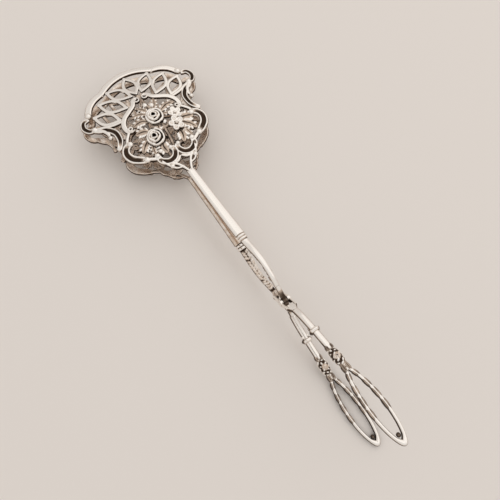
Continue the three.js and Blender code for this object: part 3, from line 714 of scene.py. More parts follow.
def rosette(radius, height):
    """A small rose: a hollow heart in a rolled lip, with two rings of petals round it."""
    unit = radius / 4
    shells = [flower_middle(ROSETTE_HEART, unit, height)]
    for reach, half_length, half_width, level, phase in ROSETTE_RINGS:
        radii = (half_length * unit, half_width * unit, ROSETTE_PETAL_RISE * height)
        for i in range(ROSETTE_PETALS):
            turn = Matrix.Rotation(phase + FULL_TURN * i / ROSETTE_PETALS, 4, "Z")
            lean = turn @ Matrix.Rotation(ROSETTE_TILT, 4, "Y")
            shells.append(ellipsoid(turn @ Vector((reach * unit, 0, level * height)), radii, lean))
    lip, tube, level, rise = ROSETTE_LIP
    shells.append(torus(lip * unit, tube * unit, level * height, rise * height))
    return shells


# Rose: lengths in quarters of its radius, levels and rises in shares of its height
ROSE_HEART = (3.3, 0.08, 0.36)
ROSE_LEAN = (0.56, 0.83)
# Rings of a rose from the outside in: petals, radius, half width, level, rise, sweep in radians, draw, lean
ROSE_RINGS = [
    (5, 3.5, 0.56, 0.34, 0.24, 1.75, 0.5, 0.0),
    (4, 2.3, 0.56, 0.56, 0.27, 2.1, 0.45, 0.35),
    (3, 1.25, 0.46, 0.72, 0.28, 2.5, 0.3, 0.45),
]


def rose(radius, height):
    """An open rose: three rings of petal edges round a dark heart, leaning to one side."""
    unit = radius / 4
    shells = [flower_middle(ROSE_HEART, unit, height, sides=40, rings=24)]
    for count, reach, half, level, rise, sweep, draw, lean in ROSE_RINGS:
        centre = (lean * unit * ROSE_LEAN[0], lean * unit * ROSE_LEAN[1])
        for i in range(count):
            start = FULL_TURN * i / count + reach
            shells.append(petal_lip(centre, reach * unit, half * unit, level * height, rise * height, start,
                                    sweep, draw * unit))
    return shells


# Blossom: lengths in shares of its radius, levels and rises in shares of its height
BLOSSOM_PETALS = 5
BLOSSOM_TILT = -0.15
BLOSSOM_HEART = (0.5, 0.08, 0.14)
BLOSSOM_BEAD = (0.18, 0.62, 0.34)
BLOSSOM_PETAL_REACH = 0.6
BLOSSOM_PETAL_LEVEL = 0.4
BLOSSOM_PETAL_SIZE = (0.4, 0.37, 0.26)
# Petal of unit size: level and radii of its hollow, then radius, half width, level and rise of its rim
CUP_LEVEL = -0.05
CUP_RADII = (0.85, 0.85, 0.68)
CUP_RIM = (0.7, 0.36, 0.2, 0.75)


def cupped_petal(length, width, rise):
    """A round petal: a dull hollow in a raised, bright rim."""
    size = Matrix.Diagonal((length, width, rise, 1))
    hollow = ellipsoid((0, 0, CUP_LEVEL), CUP_RADII, oxide_and_shade=PETAL_OXIDE)
    return [moved(shell, size) for shell in (hollow, torus(*CUP_RIM, sides=28))]


def blossom(radius, height):
    """Five open petals round a small bead."""
    shells = [flower_middle(BLOSSOM_HEART, radius, height)]
    length, width, rise = BLOSSOM_PETAL_SIZE
    petal = cupped_petal(length * radius, width * radius, rise * height)
    out = Matrix.Translation((BLOSSOM_PETAL_REACH * radius, 0, BLOSSOM_PETAL_LEVEL * height))
    for i in range(BLOSSOM_PETALS):
        seat = Matrix.Rotation(FULL_TURN * i / BLOSSOM_PETALS, 4, "Z") @ out
        shells += [moved(shell, seat @ Matrix.Rotation(BLOSSOM_TILT, 4, "Y")) for shell in petal]
    shells.append(flower_middle(BLOSSOM_BEAD, radius, height, oxide_and_shade=None))
    return shells


# Bouquet: stems, leaves, two roses and two blossoms, the smaller one cast with the leaves
ROSE_FRONT = (33.2, 0.2)
ROSE_FRONT_HEIGHT = 3.2
ROSE_BACK = (23.8, 5.3)
ROSE_BACK_HEIGHT = 4.0
BLOSSOM = (25.0, -6.4)
BLOSSOM_HEIGHT = 3.6
FLOWER_SEAT = 0.5
SIDE_BLOSSOM = (30.7, -9.1)
SIDE_BLOSSOM_RADIUS = 3.5
SIDE_BLOSSOM_HEIGHT = 2.0
SIDE_BLOSSOM_SEAT = 0.3
STEMS = [
    [(16, 0.2), (21, -0.6), (28, -1.2), (34, -1), (40, -0.4), (45.2, 0)],
    [(25.4, 12), (25, 5.2), (26.6, -1), (26, -7.2), (25.6, -15.6)],
]
STEM_RISE = 0.6
STEM_SINK = 0.6
STEM_ENDS = 0.7
# Leaves: plan points and share of LEAF_WIDTH
LEAVES = [
    ([(25.2, 8.2), (23.2, 11.6), (20.6, 14.2)], 1.2),
    ([(32.6, 3.4), (34.6, 7.2), (34.4, 11.6)], 1.1),
    ([(33.8, -2), (31.8, -8.2), (31.2, -14)], 0.7),
    ([(34.4, -3), (36.8, -8), (37.2, -12.8)], 1.1),
    ([(25.8, -8.6), (23.2, -12.4), (19.6, -15)], 1.2),
    ([(36.4, 1.2), (39.6, 2.8), (42.4, 5)], 0.75),
    ([(21.8, 4.2), (18.2, 4.6), (14.8, 4.2)], 1.4),
    ([(23.6, -6.2), (19.8, -6.6), (15.8, -5.2)], 1.3),
    ([(23, 7), (20, 9), (16.6, 9.6)], 0.8),
    ([(24, -7), (20, -9.6), (16.4, -10.6)], 0.8),
    ([(27.4, 6), (29.6, 8.8), (30.4, 12.6)], 1.2),
    ([(25.6, 2.4), (28.6, 1.4), (29.8, 4.4)], 0.9),
    ([(27.4, -9.2), (27.2, -13.4), (26.4, -17)], 1.4),
    ([(36, 2.2), (38.6, 5.8), (39.2, 10.2)], 0.8),
    ([(36.6, -1.2), (40.4, -3.8), (43.8, -5)], 0.8),
]
BLADE_SHARE = 0.8
BLADE_RISE = 0.9
BLADE_SINK = 0.6
BLADE_ENDS = 0.06
BLADE_LIFT = 0.1
# Lobes of a leaf: places along it, spread from its heading, then reach, length and width in its widths
LOBE_PLACES = (0.3, 0.52, 0.74)
LOBE_SPREAD = math.radians(38)
LOBE_REACH = 0.36
LOBE_LENGTH = 0.28
LOBE_WIDTH = 0.15
LOBE_HEIGHT = 0.5
LOBE_LIFT = 0.35
BUDS = [(41.6, 0.6), (40, -2.1), (28.8, -2.6), (17.4, 6.9)]
BUD_RADII = (1.3, 1.2, 0.9)
BUD_LIFT = 0.6


def jaw_frame(spot, height):
    """A seat on the dome, square to its surface."""
    u, v = spot
    step = 0.5
    along = on_jaw(u + step, v, 0) - on_jaw(u - step, v, 0)
    across = on_jaw(u, v + step, 0) - on_jaw(u, v - step, 0)
    up = Vector(np.cross(along, across)).normalized()
    return Matrix.Translation(Vector(on_jaw(u, v, 0)) + up * height) @ facing(up)


def lobed_leaf(points, width):
    """A leaf with a creased middle and three small lobes along each side."""
    blade = BLADE_SHARE * width
    shells = [jaw_stroke(points, blade, BLADE_RISE, BLADE_SINK, leaf_top, BLADE_ENDS, lift=BLADE_LIFT)]
    steps = 50
    curve, tangent = smooth_curve(points, steps + 1)
    lobe = (LOBE_LENGTH * width, LOBE_WIDTH * width, LOBE_HEIGHT)
    for along in LOBE_PLACES:
        i = round(along * steps)
        heading = math.atan2(tangent[i, 1], tangent[i, 0])
        reach = LOBE_REACH * width * math.sin(math.pi * along) ** 0.5
        for side in (1, -1):
            u = curve[i, 0] - side * reach * tangent[i, 1]
            v = curve[i, 1] + side * reach * tangent[i, 0]
            turn = Matrix.Rotation(heading + side * LOBE_SPREAD, 4, "Z")
            shells.append(ellipsoid(on_jaw(u, v, LOBE_LIFT), lobe, turn, sides=12, rings=8))
    return shells


def jaw_spray():
    shells = [jaw_stroke(stem, STEM_WIDTH, STEM_RISE, STEM_SINK, stem_top, STEM_ENDS, 50) for stem in STEMS]
    for points, share in LEAVES:
        shells += lobed_leaf(points, LEAF_WIDTH * share)
    shells += [ellipsoid(on_jaw(*bud, BUD_LIFT), BUD_RADII) for bud in BUDS]
    seat = jaw_frame(SIDE_BLOSSOM, SIDE_BLOSSOM_SEAT)
    shells += [moved(shell, seat) for shell in blossom(SIDE_BLOSSOM_RADIUS, SIDE_BLOSSOM_HEIGHT)]
    return shells


# The table touches the crests of the flowers, worn flat, and the underside of the lower loop
def worn(mesh):
    """Flattens what would stand through the table when the casting is on the lower arm."""
    for vertex in mesh.vertices:
        x, z = vertex.co.x, vertex.co.z
        limit = (PIVOT[2] / MM - x * math.sin(PITCH)) / math.cos(PITCH)
        vertex.co.z = min(z, limit)


def flower_mesh(name, kind, radius, spot, height):
    seat = jaw_frame(spot, FLOWER_SEAT)
    mesh = cast_mesh(name, [moved(shell, seat) for shell in kind(radius, height)], FLOWER_VOXEL)
    worn(mesh)
    return mesh


# Bars of an arm
BAR_POWER = 2.6
BAR_SIDES = 28
INNER_FACE = (0.1, 0.6)
JAW_SIDE_EDGE = (0.9, 1.0)
HANDLE_SIDE_EDGE = (0.72, 0.9)


def rounded(width, thickness, power=BAR_POWER, count=BAR_SIDES):
    """A section between an oval and a rectangle."""
    angle = round_angles(count)
    c, s = np.cos(angle), np.sin(angle)
    a = width / 2 * np.sign(c) * np.abs(c) ** (2 / power)
    h = thickness / 2 * np.sign(s) * np.abs(s) ** (2 / power)
    return a, h


def along_bar(value, x):
    """A value at each place: the same all along, or a function of the place."""
    return np.broadcast_to(np.asarray(value(x) if callable(value) else value, float), x.shape)


def arm_bar(x0, x1, width, thickness, count=60, power=BAR_POWER, oxide_and_shade=0.0, inner_shade=UNDERSIDE_SHADE):
    """A bar along the arm, with painted shade along its edges and on the face towards the other arm."""
    x = np.linspace(x0, x1, count)
    rings = []
    dark = []
    for xi, w, t, o in zip(x, along_bar(width, x), along_bar(thickness, x), along_bar(oxide_and_shade, x)):
        a, h = rounded(w, t, power)
        rings.append(beside_arm(np.full(a.shape, xi), a, h))
        # Painted shade on the face towards the other arm, on the jaw side of the pivot only
        inner = inner_shade * ramp(-2 * h / t, *INNER_FACE) if xi > 0 else 0
        # Painted shade along the bar's side edges
        edge = EDGE_SHADE * ramp(2 * np.abs(a) / w, *(JAW_SIDE_EDGE if xi > 0 else HANDLE_SIDE_EDGE))
        dark.append(np.maximum(np.maximum(inner, edge), o))
    return skin(np.array(rings), np.array(dark))


NECK_OVERLAP = 3.4
COLLAR_FRONT = COLLAR_REACH + COLLAR_LENGTH / 2
COLLAR_BACK = COLLAR_REACH - COLLAR_LENGTH / 2


def neck():
    start, end = COLLAR_FRONT, NECK_REACH + NECK_OVERLAP

    def width(x):
        return NECK_WIDTH + (NECK_TIP_WIDTH - NECK_WIDTH) * (x - start) / (end - start)

    return [arm_bar(start, end, width, NECK_THICKNESS, 70)]


COLLAR_RING_OFFSET = 0.75
COLLAR_RING_LENGTH = 1.7
COLLAR_WIDTH = 3.3
COLLAR_RING_WIDTH = 1.4
COLLAR_THICKNESS = 2.6
COLLAR_RING_THICKNESS = 0.8
COLLAR_STEPS = 40
GROOVE_RANGE = (0.1, 0.5)
GROOVE_OXIDE = 0.6
# Painted shade added to the groove on the face towards the other arm
GROOVE_INNER_SHADE = 0.4
GROOVE_INNER_FACE = (-0.3, 0.1)


def collar():
    """Two small rings with a dark, oxidised groove between them, darkest on the face towards the other arm,
    where painted shade is added.
    """
    def lobes(x):
        back = swell(x, COLLAR_REACH - COLLAR_RING_OFFSET, COLLAR_RING_LENGTH)
        return back + swell(x, COLLAR_REACH + COLLAR_RING_OFFSET, COLLAR_RING_LENGTH)

    def width(x):
        return COLLAR_WIDTH + COLLAR_RING_WIDTH * lobes(x)

    def thickness(x):
        return COLLAR_THICKNESS + COLLAR_RING_THICKNESS * lobes(x)

    vertices, faces, _ = arm_bar(COLLAR_BACK, COLLAR_FRONT, width, thickness, COLLAR_STEPS)
    groove = 1 - ramp(lobes(np.linspace(COLLAR_BACK, COLLAR_FRONT, COLLAR_STEPS)), *GROOVE_RANGE)
    # Groove oxide, plus painted shade on the face towards the other arm
    face = GROOVE_OXIDE + GROOVE_INNER_SHADE * ramp(-np.sin(round_angles(BAR_SIDES)), *GROOVE_INNER_FACE)
    return [(vertices, faces, (groove[:, None] * face[None, :]).reshape(-1))]


SHANK_WIDTH = 2.4
SHANK_WIDENING = 0.9
SHANK_SLIM_LENGTH = 6
SHANK_THICKNESS = 2.0
SHANK_LEAF_START = 2.6
SHANK_LEAF_END = 0.4
SHANK_LEAF_PITCH = 1.5
SHANK_LEAF_ACROSS = 0.6
SHANK_LEAF_SPREAD = 0.4
SHANK_LEAF_SEAT = -0.75
SHANK_LEAF_LENGTH = 1.1
SHANK_LEAF_WIDTH = 0.55
SHANK_LEAF_HEIGHT = 0.65
SHANK_LEAF_SHIFTS = (-0.4, 0.4)
SHANK_LEAF_TURNS = (0.2, 0.9)
SHANK_LEAF_SIZES = (0.8, 1.2)


def shank():
    """A bowed bar, plain outside, with an uneven ear of small leaves on the face towards the other arm."""
    start, end = JOINT_REACH, COLLAR_BACK

    def widening(x):
        return ramp(x, start + SHANK_SLIM_LENGTH, end)

    def width(x):
        return SHANK_WIDTH + SHANK_WIDENING * widening(x)

    uneven = np.random.default_rng(SEED)
    # The shank's face towards the other arm is darkened by painted shade
    shells = [arm_bar(start, end, width, SHANK_THICKNESS, 70, inner_shade=SHANK_INNER_SHADE)]
    for x in np.arange(start + SHANK_LEAF_START, end - SHANK_LEAF_END, SHANK_LEAF_PITCH):
        over = Matrix.Rotation(-slope_at(x), 4, "Y") @ Matrix.Rotation(math.pi, 4, "X")
        out = SHANK_LEAF_ACROSS + SHANK_LEAF_SPREAD * float(widening(x))
        for side in (1, -1):
            shift = uneven.uniform(*SHANK_LEAF_SHIFTS)
            turn = uneven.uniform(*SHANK_LEAF_TURNS)
            size = uneven.uniform(*SHANK_LEAF_SIZES)
            spot = beside_arm(x + shift, side * out, SHANK_LEAF_SEAT)
            leaf = (SHANK_LEAF_LENGTH * size, SHANK_LEAF_WIDTH * size, SHANK_LEAF_HEIGHT)
            lean = over @ Matrix.Rotation(-side * turn, 4, "Z")
            shells.append(dulled(ellipsoid(spot, leaf, lean), SHANK_LEAF_OXIDE))
    return shells


HANDLE_BAR_GAP = 4


def handle_bar():
    return [arm_bar(-KNOT_REACH + HANDLE_BAR_GAP, -JOINT_REACH, BAR_WIDTH, BAR_THICKNESS)]


RING_HALF = 0.8
RING_SWELL_LENGTH = 1.7
RING_WIDTH = 4.0
RING_THICKNESS = 3.4
RING_BEAD_RADII = (0.8, 0.7, 0.7)
RING_BEAD_REACH = 1.9
RING_BEAD_ACROSS = 1.1
RING_BEAD_HEIGHT = 0.7


def bead_ring():
    """A rounded ring with two small beads beside it."""
    def swollen(size):
        return lambda x: size + swell(x, -RING_REACH, RING_SWELL_LENGTH)

    shells = [arm_bar(-RING_REACH - RING_HALF, -RING_REACH + RING_HALF, swollen(RING_WIDTH),
                      swollen(RING_THICKNESS), 20)]
    for side in (1, -1):
        spot = beside_arm(-RING_REACH + RING_BEAD_REACH, side * RING_BEAD_ACROSS, RING_BEAD_HEIGHT)
        shells.append(ellipsoid(spot, RING_BEAD_RADII))
    return shells


KNOT_HALVES = np.array([4.7, 2.2, 2.0])
KNOT_CORE_SHARE = 0.92
KNOT_PETALS = 42
KNOT_PETAL_RADII = np.array([0.95, 0.6, 0.5])
KNOT_PETAL_SIZES = (0.5, 0.95)
KNOT_ROSE_RADIUS = 1.5
KNOT_ROSE_HEIGHT = 1.4
KNOT_ROSE_SEAT = 1.2
KNOT_BAR_HALF = 4.8
KNOT_BAR_WIDTH = 2.4
KNOT_BAR_THICKNESS = 2.0
# Leaves beside the knot: first and last reach from its middle, width
KNOT_LEAVES = [(-8.2, -2.6, 2.0), (2.6, 6.4, 1.8)]
KNOT_LEAF_ACROSS = 0.9
KNOT_LEAF_POINT = 0.08
KNOT_LEAF_FULLNESS = 0.8
KNOT_LEAF_STEPS = 26
KNOT_LEAF_SEAT = 0.5
KNOT_LEAF_LIFT = 0.8
KNOT_LEAF_SINK = 0.4
GOLDEN_HALF_TURNS = 3 - math.sqrt(5)


def knot_leaf(x0, x1, width, across, face):
    """A small creased leaf along the bar, on its upper or lower face."""
    t = np.linspace(0, 1, KNOT_LEAF_STEPS)
    outline = np.clip(np.sin(np.pi * t), 0, 1) ** KNOT_LEAF_FULLNESS
    half = width / 2 * (KNOT_LEAF_POINT + (1 - KNOT_LEAF_POINT) * outline)
    fullness = fullness_along(t)
    top, oxide_and_shade = leaf_top(ACROSS[None, :], fullness)
    a, h, dark = stroke_rings(half, KNOT_LEAF_LIFT * top * fullness, -KNOT_LEAF_SINK, oxide_and_shade)
    x = np.linspace(x0, x1, KNOT_LEAF_STEPS)[:, None] + 0 * a
    rings = beside_arm(x, across + a, face * (KNOT_LEAF_SEAT + h))
    return skin(rings, np.maximum(dark, BAR_LEAF_OXIDE))


def knot_cluster():
    """Little uneven petals over a dark core, with a small rose on the upper and the lower face."""
    uneven = np.random.default_rng(SEED)
    shells = [ellipsoid((0, 0, 0), KNOT_HALVES * KNOT_CORE_SHARE, oxide_and_shade=1.0, sides=40, rings=30)]
    for i in range(KNOT_PETALS):
        lift = 1 - 2 * (i + 0.5) / KNOT_PETALS
        angle = i * math.pi * GOLDEN_HALF_TURNS
        ring = math.sqrt(1 - lift ** 2)
        out = Vector((lift, ring * math.cos(angle), ring * math.sin(angle)))
        normal = Vector([c / half for c, half in zip(out, KNOT_HALVES)]).normalized()
        petal = KNOT_PETAL_RADII * uneven.uniform(*KNOT_PETAL_SIZES)
        spin = Matrix.Rotation(uneven.uniform(0, math.pi), 4, "Z")
        shells.append(ellipsoid(np.array(out) * KNOT_HALVES, petal, facing(normal) @ spin, sides=12, rings=8))
    small_rose = [dulled(shell, KNOT_ROSE_OXIDE) for shell in rosette(KNOT_ROSE_RADIUS, KNOT_ROSE_HEIGHT)]
    for flip in (0, math.pi):
        over = Matrix.Rotation(flip, 4, "X") @ Matrix.Translation((0, 0, KNOT_ROSE_SEAT))
        shells += [moved(shell, over) for shell in small_rose]
    return shells


def knot():
    """A cluster of petals on a thin bar, with pairs of leaves before and behind it."""
    middle = Matrix.Translation((-KNOT_REACH, 0, float(profile(-KNOT_REACH))))
    seat = middle @ Matrix.Rotation(-slope_at(-KNOT_REACH), 4, "Y")
    shells = [moved(shell, seat) for shell in knot_cluster()]
    shells.append(arm_bar(-KNOT_REACH - KNOT_BAR_HALF, -KNOT_REACH + KNOT_BAR_HALF, KNOT_BAR_WIDTH,
                          KNOT_BAR_THICKNESS, 30))
    for face in (1, -1):
        for side in (1, -1):
            for first, last, width in KNOT_LEAVES:
                shells.append(knot_leaf(-KNOT_REACH + first, -KNOT_REACH + last, width,
                                        side * KNOT_LEAF_ACROSS, face))
    return shells


LOOP_FULLNESS = 1.3
LOOP_LEAN = 0.1
LOOP_FRONT = KNOT_REACH + KNOT_BAR_HALF
LOOP_MIDDLE = (LOOP_FRONT + HANDLE_REACH) / 2
LOOP_STEPS = 240
LOOP_FIRST_ANGLE = 0.001
TIP_WIDENING = 0.9
TIP_RANGE = (0.8, 1.0)
STRAND_POWER = 2.4
STRAND_SIDES = 24
# Painted shade on the inner and outer flanks of the loop's strand
STRAND_INNER_SHADE = 0.95
STRAND_INNER_FLANK = (0.6, 0.85)
STRAND_OUTER_SHADE = 0.85
STRAND_OUTER_FLANK = (0.72, 0.92)
# Leaves lapped along each side of the loop: start and end in half turns from the knot
STRAND_LEAVES = [(0.13, 0.27), (0.27, 0.40), (0.37, 0.50), (0.47, 0.60)]
STRAND_LEAF_WIDTH = 2.0
STRAND_LEAF_POINT = 0.1
STRAND_LEAF_PROUD = 0.05
STRAND_LEAF_RISE = STRAND_THICKNESS / 2 + STRAND_LEAF_PROUD
STRAND_LEAF_FLANK = 0.55
STRAND_LEAF_CROWN = 0.45
STRAND_LEAF_TIP = 0.7
STRAND_LEAF_SWELL = 0.3


def loop_point(angle, inset):
    """Middle line of the loop's strand: a long pointed oval, narrower towards the knot."""
    half_length = (HANDLE_REACH - LOOP_FRONT) / 2 - inset
    across = np.sign(np.sin(angle)) * np.abs(np.sin(angle)) ** LOOP_FULLNESS
    x = -LOOP_MIDDLE + half_length * np.cos(angle)
    y = (LOOP_WIDTH / 2 - inset) * across * (1 - LOOP_LEAN * np.cos(angle))
    return x, y


def strand_points(angle, across, height, inset):
    """Points beside the middle line of the loop's strand, at angles round the loop."""
    x, y = loop_point(angle, inset)
    step = 0.005
    ahead, behind = loop_point(angle + step, inset), loop_point(angle - step, inset)
    tangent = np.stack([ahead[0] - behind[0], ahead[1] - behind[1]], axis=1)
    tangent /= np.linalg.norm(tangent, axis=1, keepdims=True)
    px = x[:, None] - tangent[:, 1:] * across
    py = y[:, None] + tangent[:, :1] * across
    return np.stack([px, py, profile(np.clip(px, -HANDLE_REACH, None)) + height], axis=-1)


def strand_leaf(start, end):
    """A leaf lapped over the strand, the same above and below."""
    fullness = fullness_along(np.linspace(0, 1, 24))
    top, oxide_and_shade = leaf_top(ACROSS[None, :], fullness)
    shape = STRAND_LEAF_POINT + (1 - STRAND_LEAF_POINT) * fullness
    across = STRAND_LEAF_WIDTH / 2 * shape * ACROSS[None, :]
    section = STRAND_LEAF_RISE * (STRAND_LEAF_FLANK + STRAND_LEAF_CROWN * top)
    rise = section * (STRAND_LEAF_TIP + STRAND_LEAF_SWELL * fullness)
    rim = np.concatenate([across, across[:, ::-1]], axis=1)
    height = np.concatenate([rise, -rise[:, ::-1]], axis=1)
    dark = np.maximum(np.concatenate([oxide_and_shade, oxide_and_shade[:, ::-1]], axis=1), BAR_LEAF_OXIDE)
    return skin(strand_points(np.linspace(start, end, 24), rim, height, STRAND_WIDTH / 2), dark)


def handle_loop():
    """A rounded strand with painted shade on its flanks, broader at the tip, with leaves lapped along each
    side.
    """
    angle = round_angles(LOOP_STEPS) + LOOP_FIRST_ANGLE
    tip = ramp(-np.cos(angle), *TIP_RANGE)
    a, h = rounded(1.0, 1.0, STRAND_POWER, STRAND_SIDES)
    across = (STRAND_WIDTH + TIP_WIDENING * tip)[:, None] * a
    rings = strand_points(angle, across, STRAND_THICKNESS * h, STRAND_WIDTH / 2 + TIP_WIDENING / 2 * tip)
    # Painted shade on the strand's flanks
    inner = STRAND_INNER_SHADE * ramp(2 * a, *STRAND_INNER_FLANK)
    outer = STRAND_OUTER_SHADE * ramp(-2 * a, *STRAND_OUTER_FLANK)
    shells = [skin(rings, np.maximum(inner, outer)[None, :], closed=True)]
    for start, end in STRAND_LEAVES:
        shells.append(strand_leaf(start * math.pi, end * math.pi))
        shells.append(strand_leaf((2 - start) * math.pi, (2 - end) * math.pi))
    return shells


LOOP_BEAD_RADII = (1.0, 0.9, 1.0)


def loop_bead():
    middle = (-BEAD_REACH, 0, float(profile(-BEAD_REACH)))
    return [ellipsoid(middle, LOOP_BEAD_RADII, oxide_and_shade=LOOP_BEAD_OXIDE)]


# Joint: the upper arm's tongue passes through the lower arm's box, and the rivet holds both
TONGUE_POWER = 3.5
TONGUE_FADE = (3.4, 6.2)
TONGUE_EYE_RADIUS = 1.8
CHEEK_POWER = 3.0
CHEEK_SIDES = 20
CHEEK_SHADED_FACE = (0.1 * CHEEK_WIDTH, 0.3 * CHEEK_WIDTH)
CHEEK_EYE_RADIUS = 1.9
BOX_END_REACH = 3.4
BOX_NARROWING = (0.2, 1.0)
RIVET_RADIUS = 0.7
RIVET_OVERHANG = 0.2
RIVET_HEAD_RADII = (1.3, 0.5, 1.3)
# Rings of a disc round the pivot: share of its thickness, share of its radius
DISC_RINGS = [(0, 0.93), (0.06, 1), (0.94, 1), (1, 0.93)]


def pivot_disc(radius, y0, y1, oxide_and_shade=0.0):
    """A disc round the pivot with bevelled edges."""
    angle = round_angles(36)
    rings = []
    for share, size in DISC_RINGS:
        y = y0 + (y1 - y0) * share
        r = radius * size
        rings.append(np.stack([r * np.cos(angle), np.full(angle.shape, y), r * np.sin(angle)], axis=1))
    return skin(np.array(rings), oxide_and_shade)


def tongue():
    """A flat bar with an eye for the rivet, with painted shade where the box holds it."""
    def oxide_and_shade(x):
        return TONGUE_SHADE * (1 - ramp(np.abs(x), *TONGUE_FADE))

    bar = arm_bar(-JOINT_REACH, JOINT_REACH, TONGUE_WIDTH, JOINT_THICKNESS, 40, TONGUE_POWER, oxide_and_shade)
    eye = pivot_disc(TONGUE_EYE_RADIUS, -TONGUE_WIDTH / 2, TONGUE_WIDTH / 2, TONGUE_EYE_SHADE)
    return [bar, eye]


def box_end(end):
    """An end of the box, narrowing to the bar's width."""
    inner, outer = end * BOX_END_REACH, end * JOINT_REACH

    def width(x):
        narrowing = ramp((x - inner) / (outer - inner), *BOX_NARROWING)
        return 2 * BOX_HALF + (BAR_WIDTH - 2 * BOX_HALF) * narrowing

    return arm_bar(min(inner, outer), max(inner, outer), width, JOINT_THICKNESS, 20)


def box():
    """Two cheeks with eyes for the rivet, with painted shade on their inner faces, and the two ends that join
    them.
    """
    shells = []
    a, h = rounded(CHEEK_WIDTH, JOINT_THICKNESS, CHEEK_POWER, CHEEK_SIDES)
    for side in (1, -1):
        middle = side * (WINDOW_HALF + CHEEK_WIDTH / 2)
        places = np.linspace(-BOX_REACH, BOX_REACH, 30)
        rings = [beside_arm(np.full(a.shape, x), middle + a, h) for x in places]
        # Painted shade on each cheek's face towards the window
        shells.append(skin(np.array(rings), ramp(-side * a, *CHEEK_SHADED_FACE)))
        shells.append(pivot_disc(CHEEK_EYE_RADIUS, middle - CHEEK_WIDTH / 2, middle + CHEEK_WIDTH / 2))
    return shells + [box_end(end) for end in (1, -1)]


def rivet():
    """A pin with a rounded head on each side."""
    shells = [pivot_disc(RIVET_RADIUS, -BOX_HALF - RIVET_OVERHANG, BOX_HALF + RIVET_OVERHANG)]
    for side in (1, -1):
        shells.append(ellipsoid((0, side * BOX_HALF, 0), RIVET_HEAD_RADII, oxide_and_shade=0.0))
    return shells


place(cast_mesh("jaw_rim", jaw_rim(), FINE_VOXEL), "jaw_rim")
place(cast_mesh("jaw_lattice", jaw_lattice(), FINE_VOXEL), "jaw_lattice")
place(cast_mesh("jaw_scrolls", jaw_scrolls(), FINE_VOXEL), "jaw_scrolls")
place(cast_mesh("jaw_spray", jaw_spray(), FINE_VOXEL), "jaw_spray")
place(flower_mesh("jaw_rose_front", rose, ROSE_RADIUS, ROSE_FRONT, ROSE_FRONT_HEIGHT), "jaw_rose_front")
place(flower_mesh("jaw_rose_back", rose, ROSE_RADIUS, ROSE_BACK, ROSE_BACK_HEIGHT), "jaw_rose_back")
place(flower_mesh("jaw_blossom", blossom, BLOSSOM_RADIUS, BLOSSOM, BLOSSOM_HEIGHT), "jaw_blossom")
place(plain_mesh("neck", neck()), "neck")
place(plain_mesh("collar", collar()), "collar")
place(cast_mesh("shank", shank(), FLOWER_VOXEL), "shank")
place(plain_mesh("handle_bar", handle_bar()), "handle_bar")
place(cast_mesh("bead_ring", bead_ring(), FLOWER_VOXEL), "bead_ring")
place(cast_mesh("handle_knot", knot(), FLOWER_VOXEL), "handle_knot")
place(plain_mesh("handle_loop", handle_loop()), "handle_loop")
place(plain_mesh("loop_bead", loop_bead()), "loop_bead")
place(cast_mesh("tongue", tongue(), FLOWER_VOXEL), "tongue", ("upper",))
place(cast_mesh("box", box(), FLOWER_VOXEL), "box", ("lower",))
add_piece(finished(cast_mesh("pivot_rivet", rivet(), FLOWER_VOXEL)), "pivot_rivet", "lower_arm", UPPER)


# Floor, light and camera
FLOOR_SIZE = 6
FLOOR_COLOUR = (0.81, 0.757, 0.712, 1)
FLOOR_ROUGHNESS = 0.9
HORIZON_COLOUR = (0.64, 0.6, 0.565, 1)
ZENITH_COLOUR = (0.84, 0.825, 0.81, 1)
ZENITH_LEVEL = 0.9
KEY_PLACE = (0.15, -0.5, 0.65)
KEY_SIZE = 1.6
KEY_ENERGY = 1.4
KEY_COLOUR = (1.0, 0.97, 0.93)
CAMERA_PLACE = Vector((-0.06071, 0.05526, 0.2322))
CAMERA_TARGET = Vector((-0.00659, -0.00087, 0.016))
CAMERA_ROLL = math.radians(11.739)
CAMERA_NEAR = 0.01
LENS = 36.83
SENSOR = 36.0


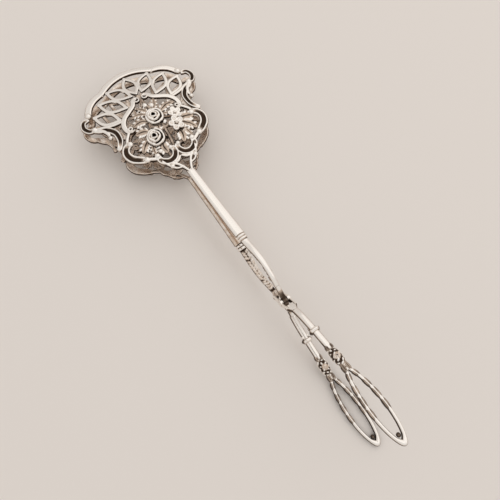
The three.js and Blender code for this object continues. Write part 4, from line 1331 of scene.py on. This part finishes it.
def floor():
    bpy.ops.mesh.primitive_plane_add(size=FLOOR_SIZE)
    plane = bpy.context.object
    plane.name = "floor"
    material = bpy.data.materials.new("floor")
    material.use_nodes = True
    shader = material.node_tree.nodes["Principled BSDF"]
    shader.inputs["Base Color"].default_value = FLOOR_COLOUR
    shader.inputs["Roughness"].default_value = FLOOR_ROUGHNESS
    plane.data.materials.append(material)


def world_light():
    """A pale sky, brighter overhead than at the horizon."""
    world = bpy.data.worlds.new("studio")
    bpy.context.scene.world = world
    world.use_nodes = True
    nodes, links = world.node_tree.nodes, world.node_tree.links
    direction = nodes.new("ShaderNodeTexCoord")
    split = nodes.new("ShaderNodeSeparateXYZ")
    shades = nodes.new("ShaderNodeValToRGB")
    links.new(direction.outputs["Generated"], split.inputs["Vector"])
    links.new(split.outputs["Z"], shades.inputs["Fac"])
    horizon, zenith = shades.color_ramp.elements
    horizon.position = 0.0
    horizon.color = HORIZON_COLOUR
    zenith.position = ZENITH_LEVEL
    zenith.color = ZENITH_COLOUR
    links.new(shades.outputs["Color"], nodes["Background"].inputs["Color"])


def key_light():
    light = bpy.data.lights.new("key", "AREA")
    light.shape = "DISK"
    light.size = KEY_SIZE
    light.energy = KEY_ENERGY
    light.color = KEY_COLOUR
    lamp = bpy.data.objects.new("key", light)
    bpy.context.scene.collection.objects.link(lamp)
    lamp.location = KEY_PLACE
    lamp.rotation_euler = (Vector((0, 0, 0)) - lamp.location).to_track_quat("-Z", "Y").to_euler()


def camera():
    data = bpy.data.cameras.new("camera")
    data.lens = LENS
    data.sensor_width = SENSOR
    data.sensor_fit = "HORIZONTAL"
    data.clip_start = CAMERA_NEAR
    obj = bpy.data.objects.new("camera", data)
    bpy.context.scene.collection.objects.link(obj)
    obj.location = CAMERA_PLACE
    look = (CAMERA_TARGET - CAMERA_PLACE).to_track_quat("-Z", "Y").to_matrix().to_4x4()
    obj.rotation_euler = (look @ Matrix.Rotation(CAMERA_ROLL, 4, "Z")).to_euler()
    bpy.context.scene.camera = obj


floor()
world_light()
key_light()
camera()
bpy.context.scene.view_settings.view_transform = "Standard"
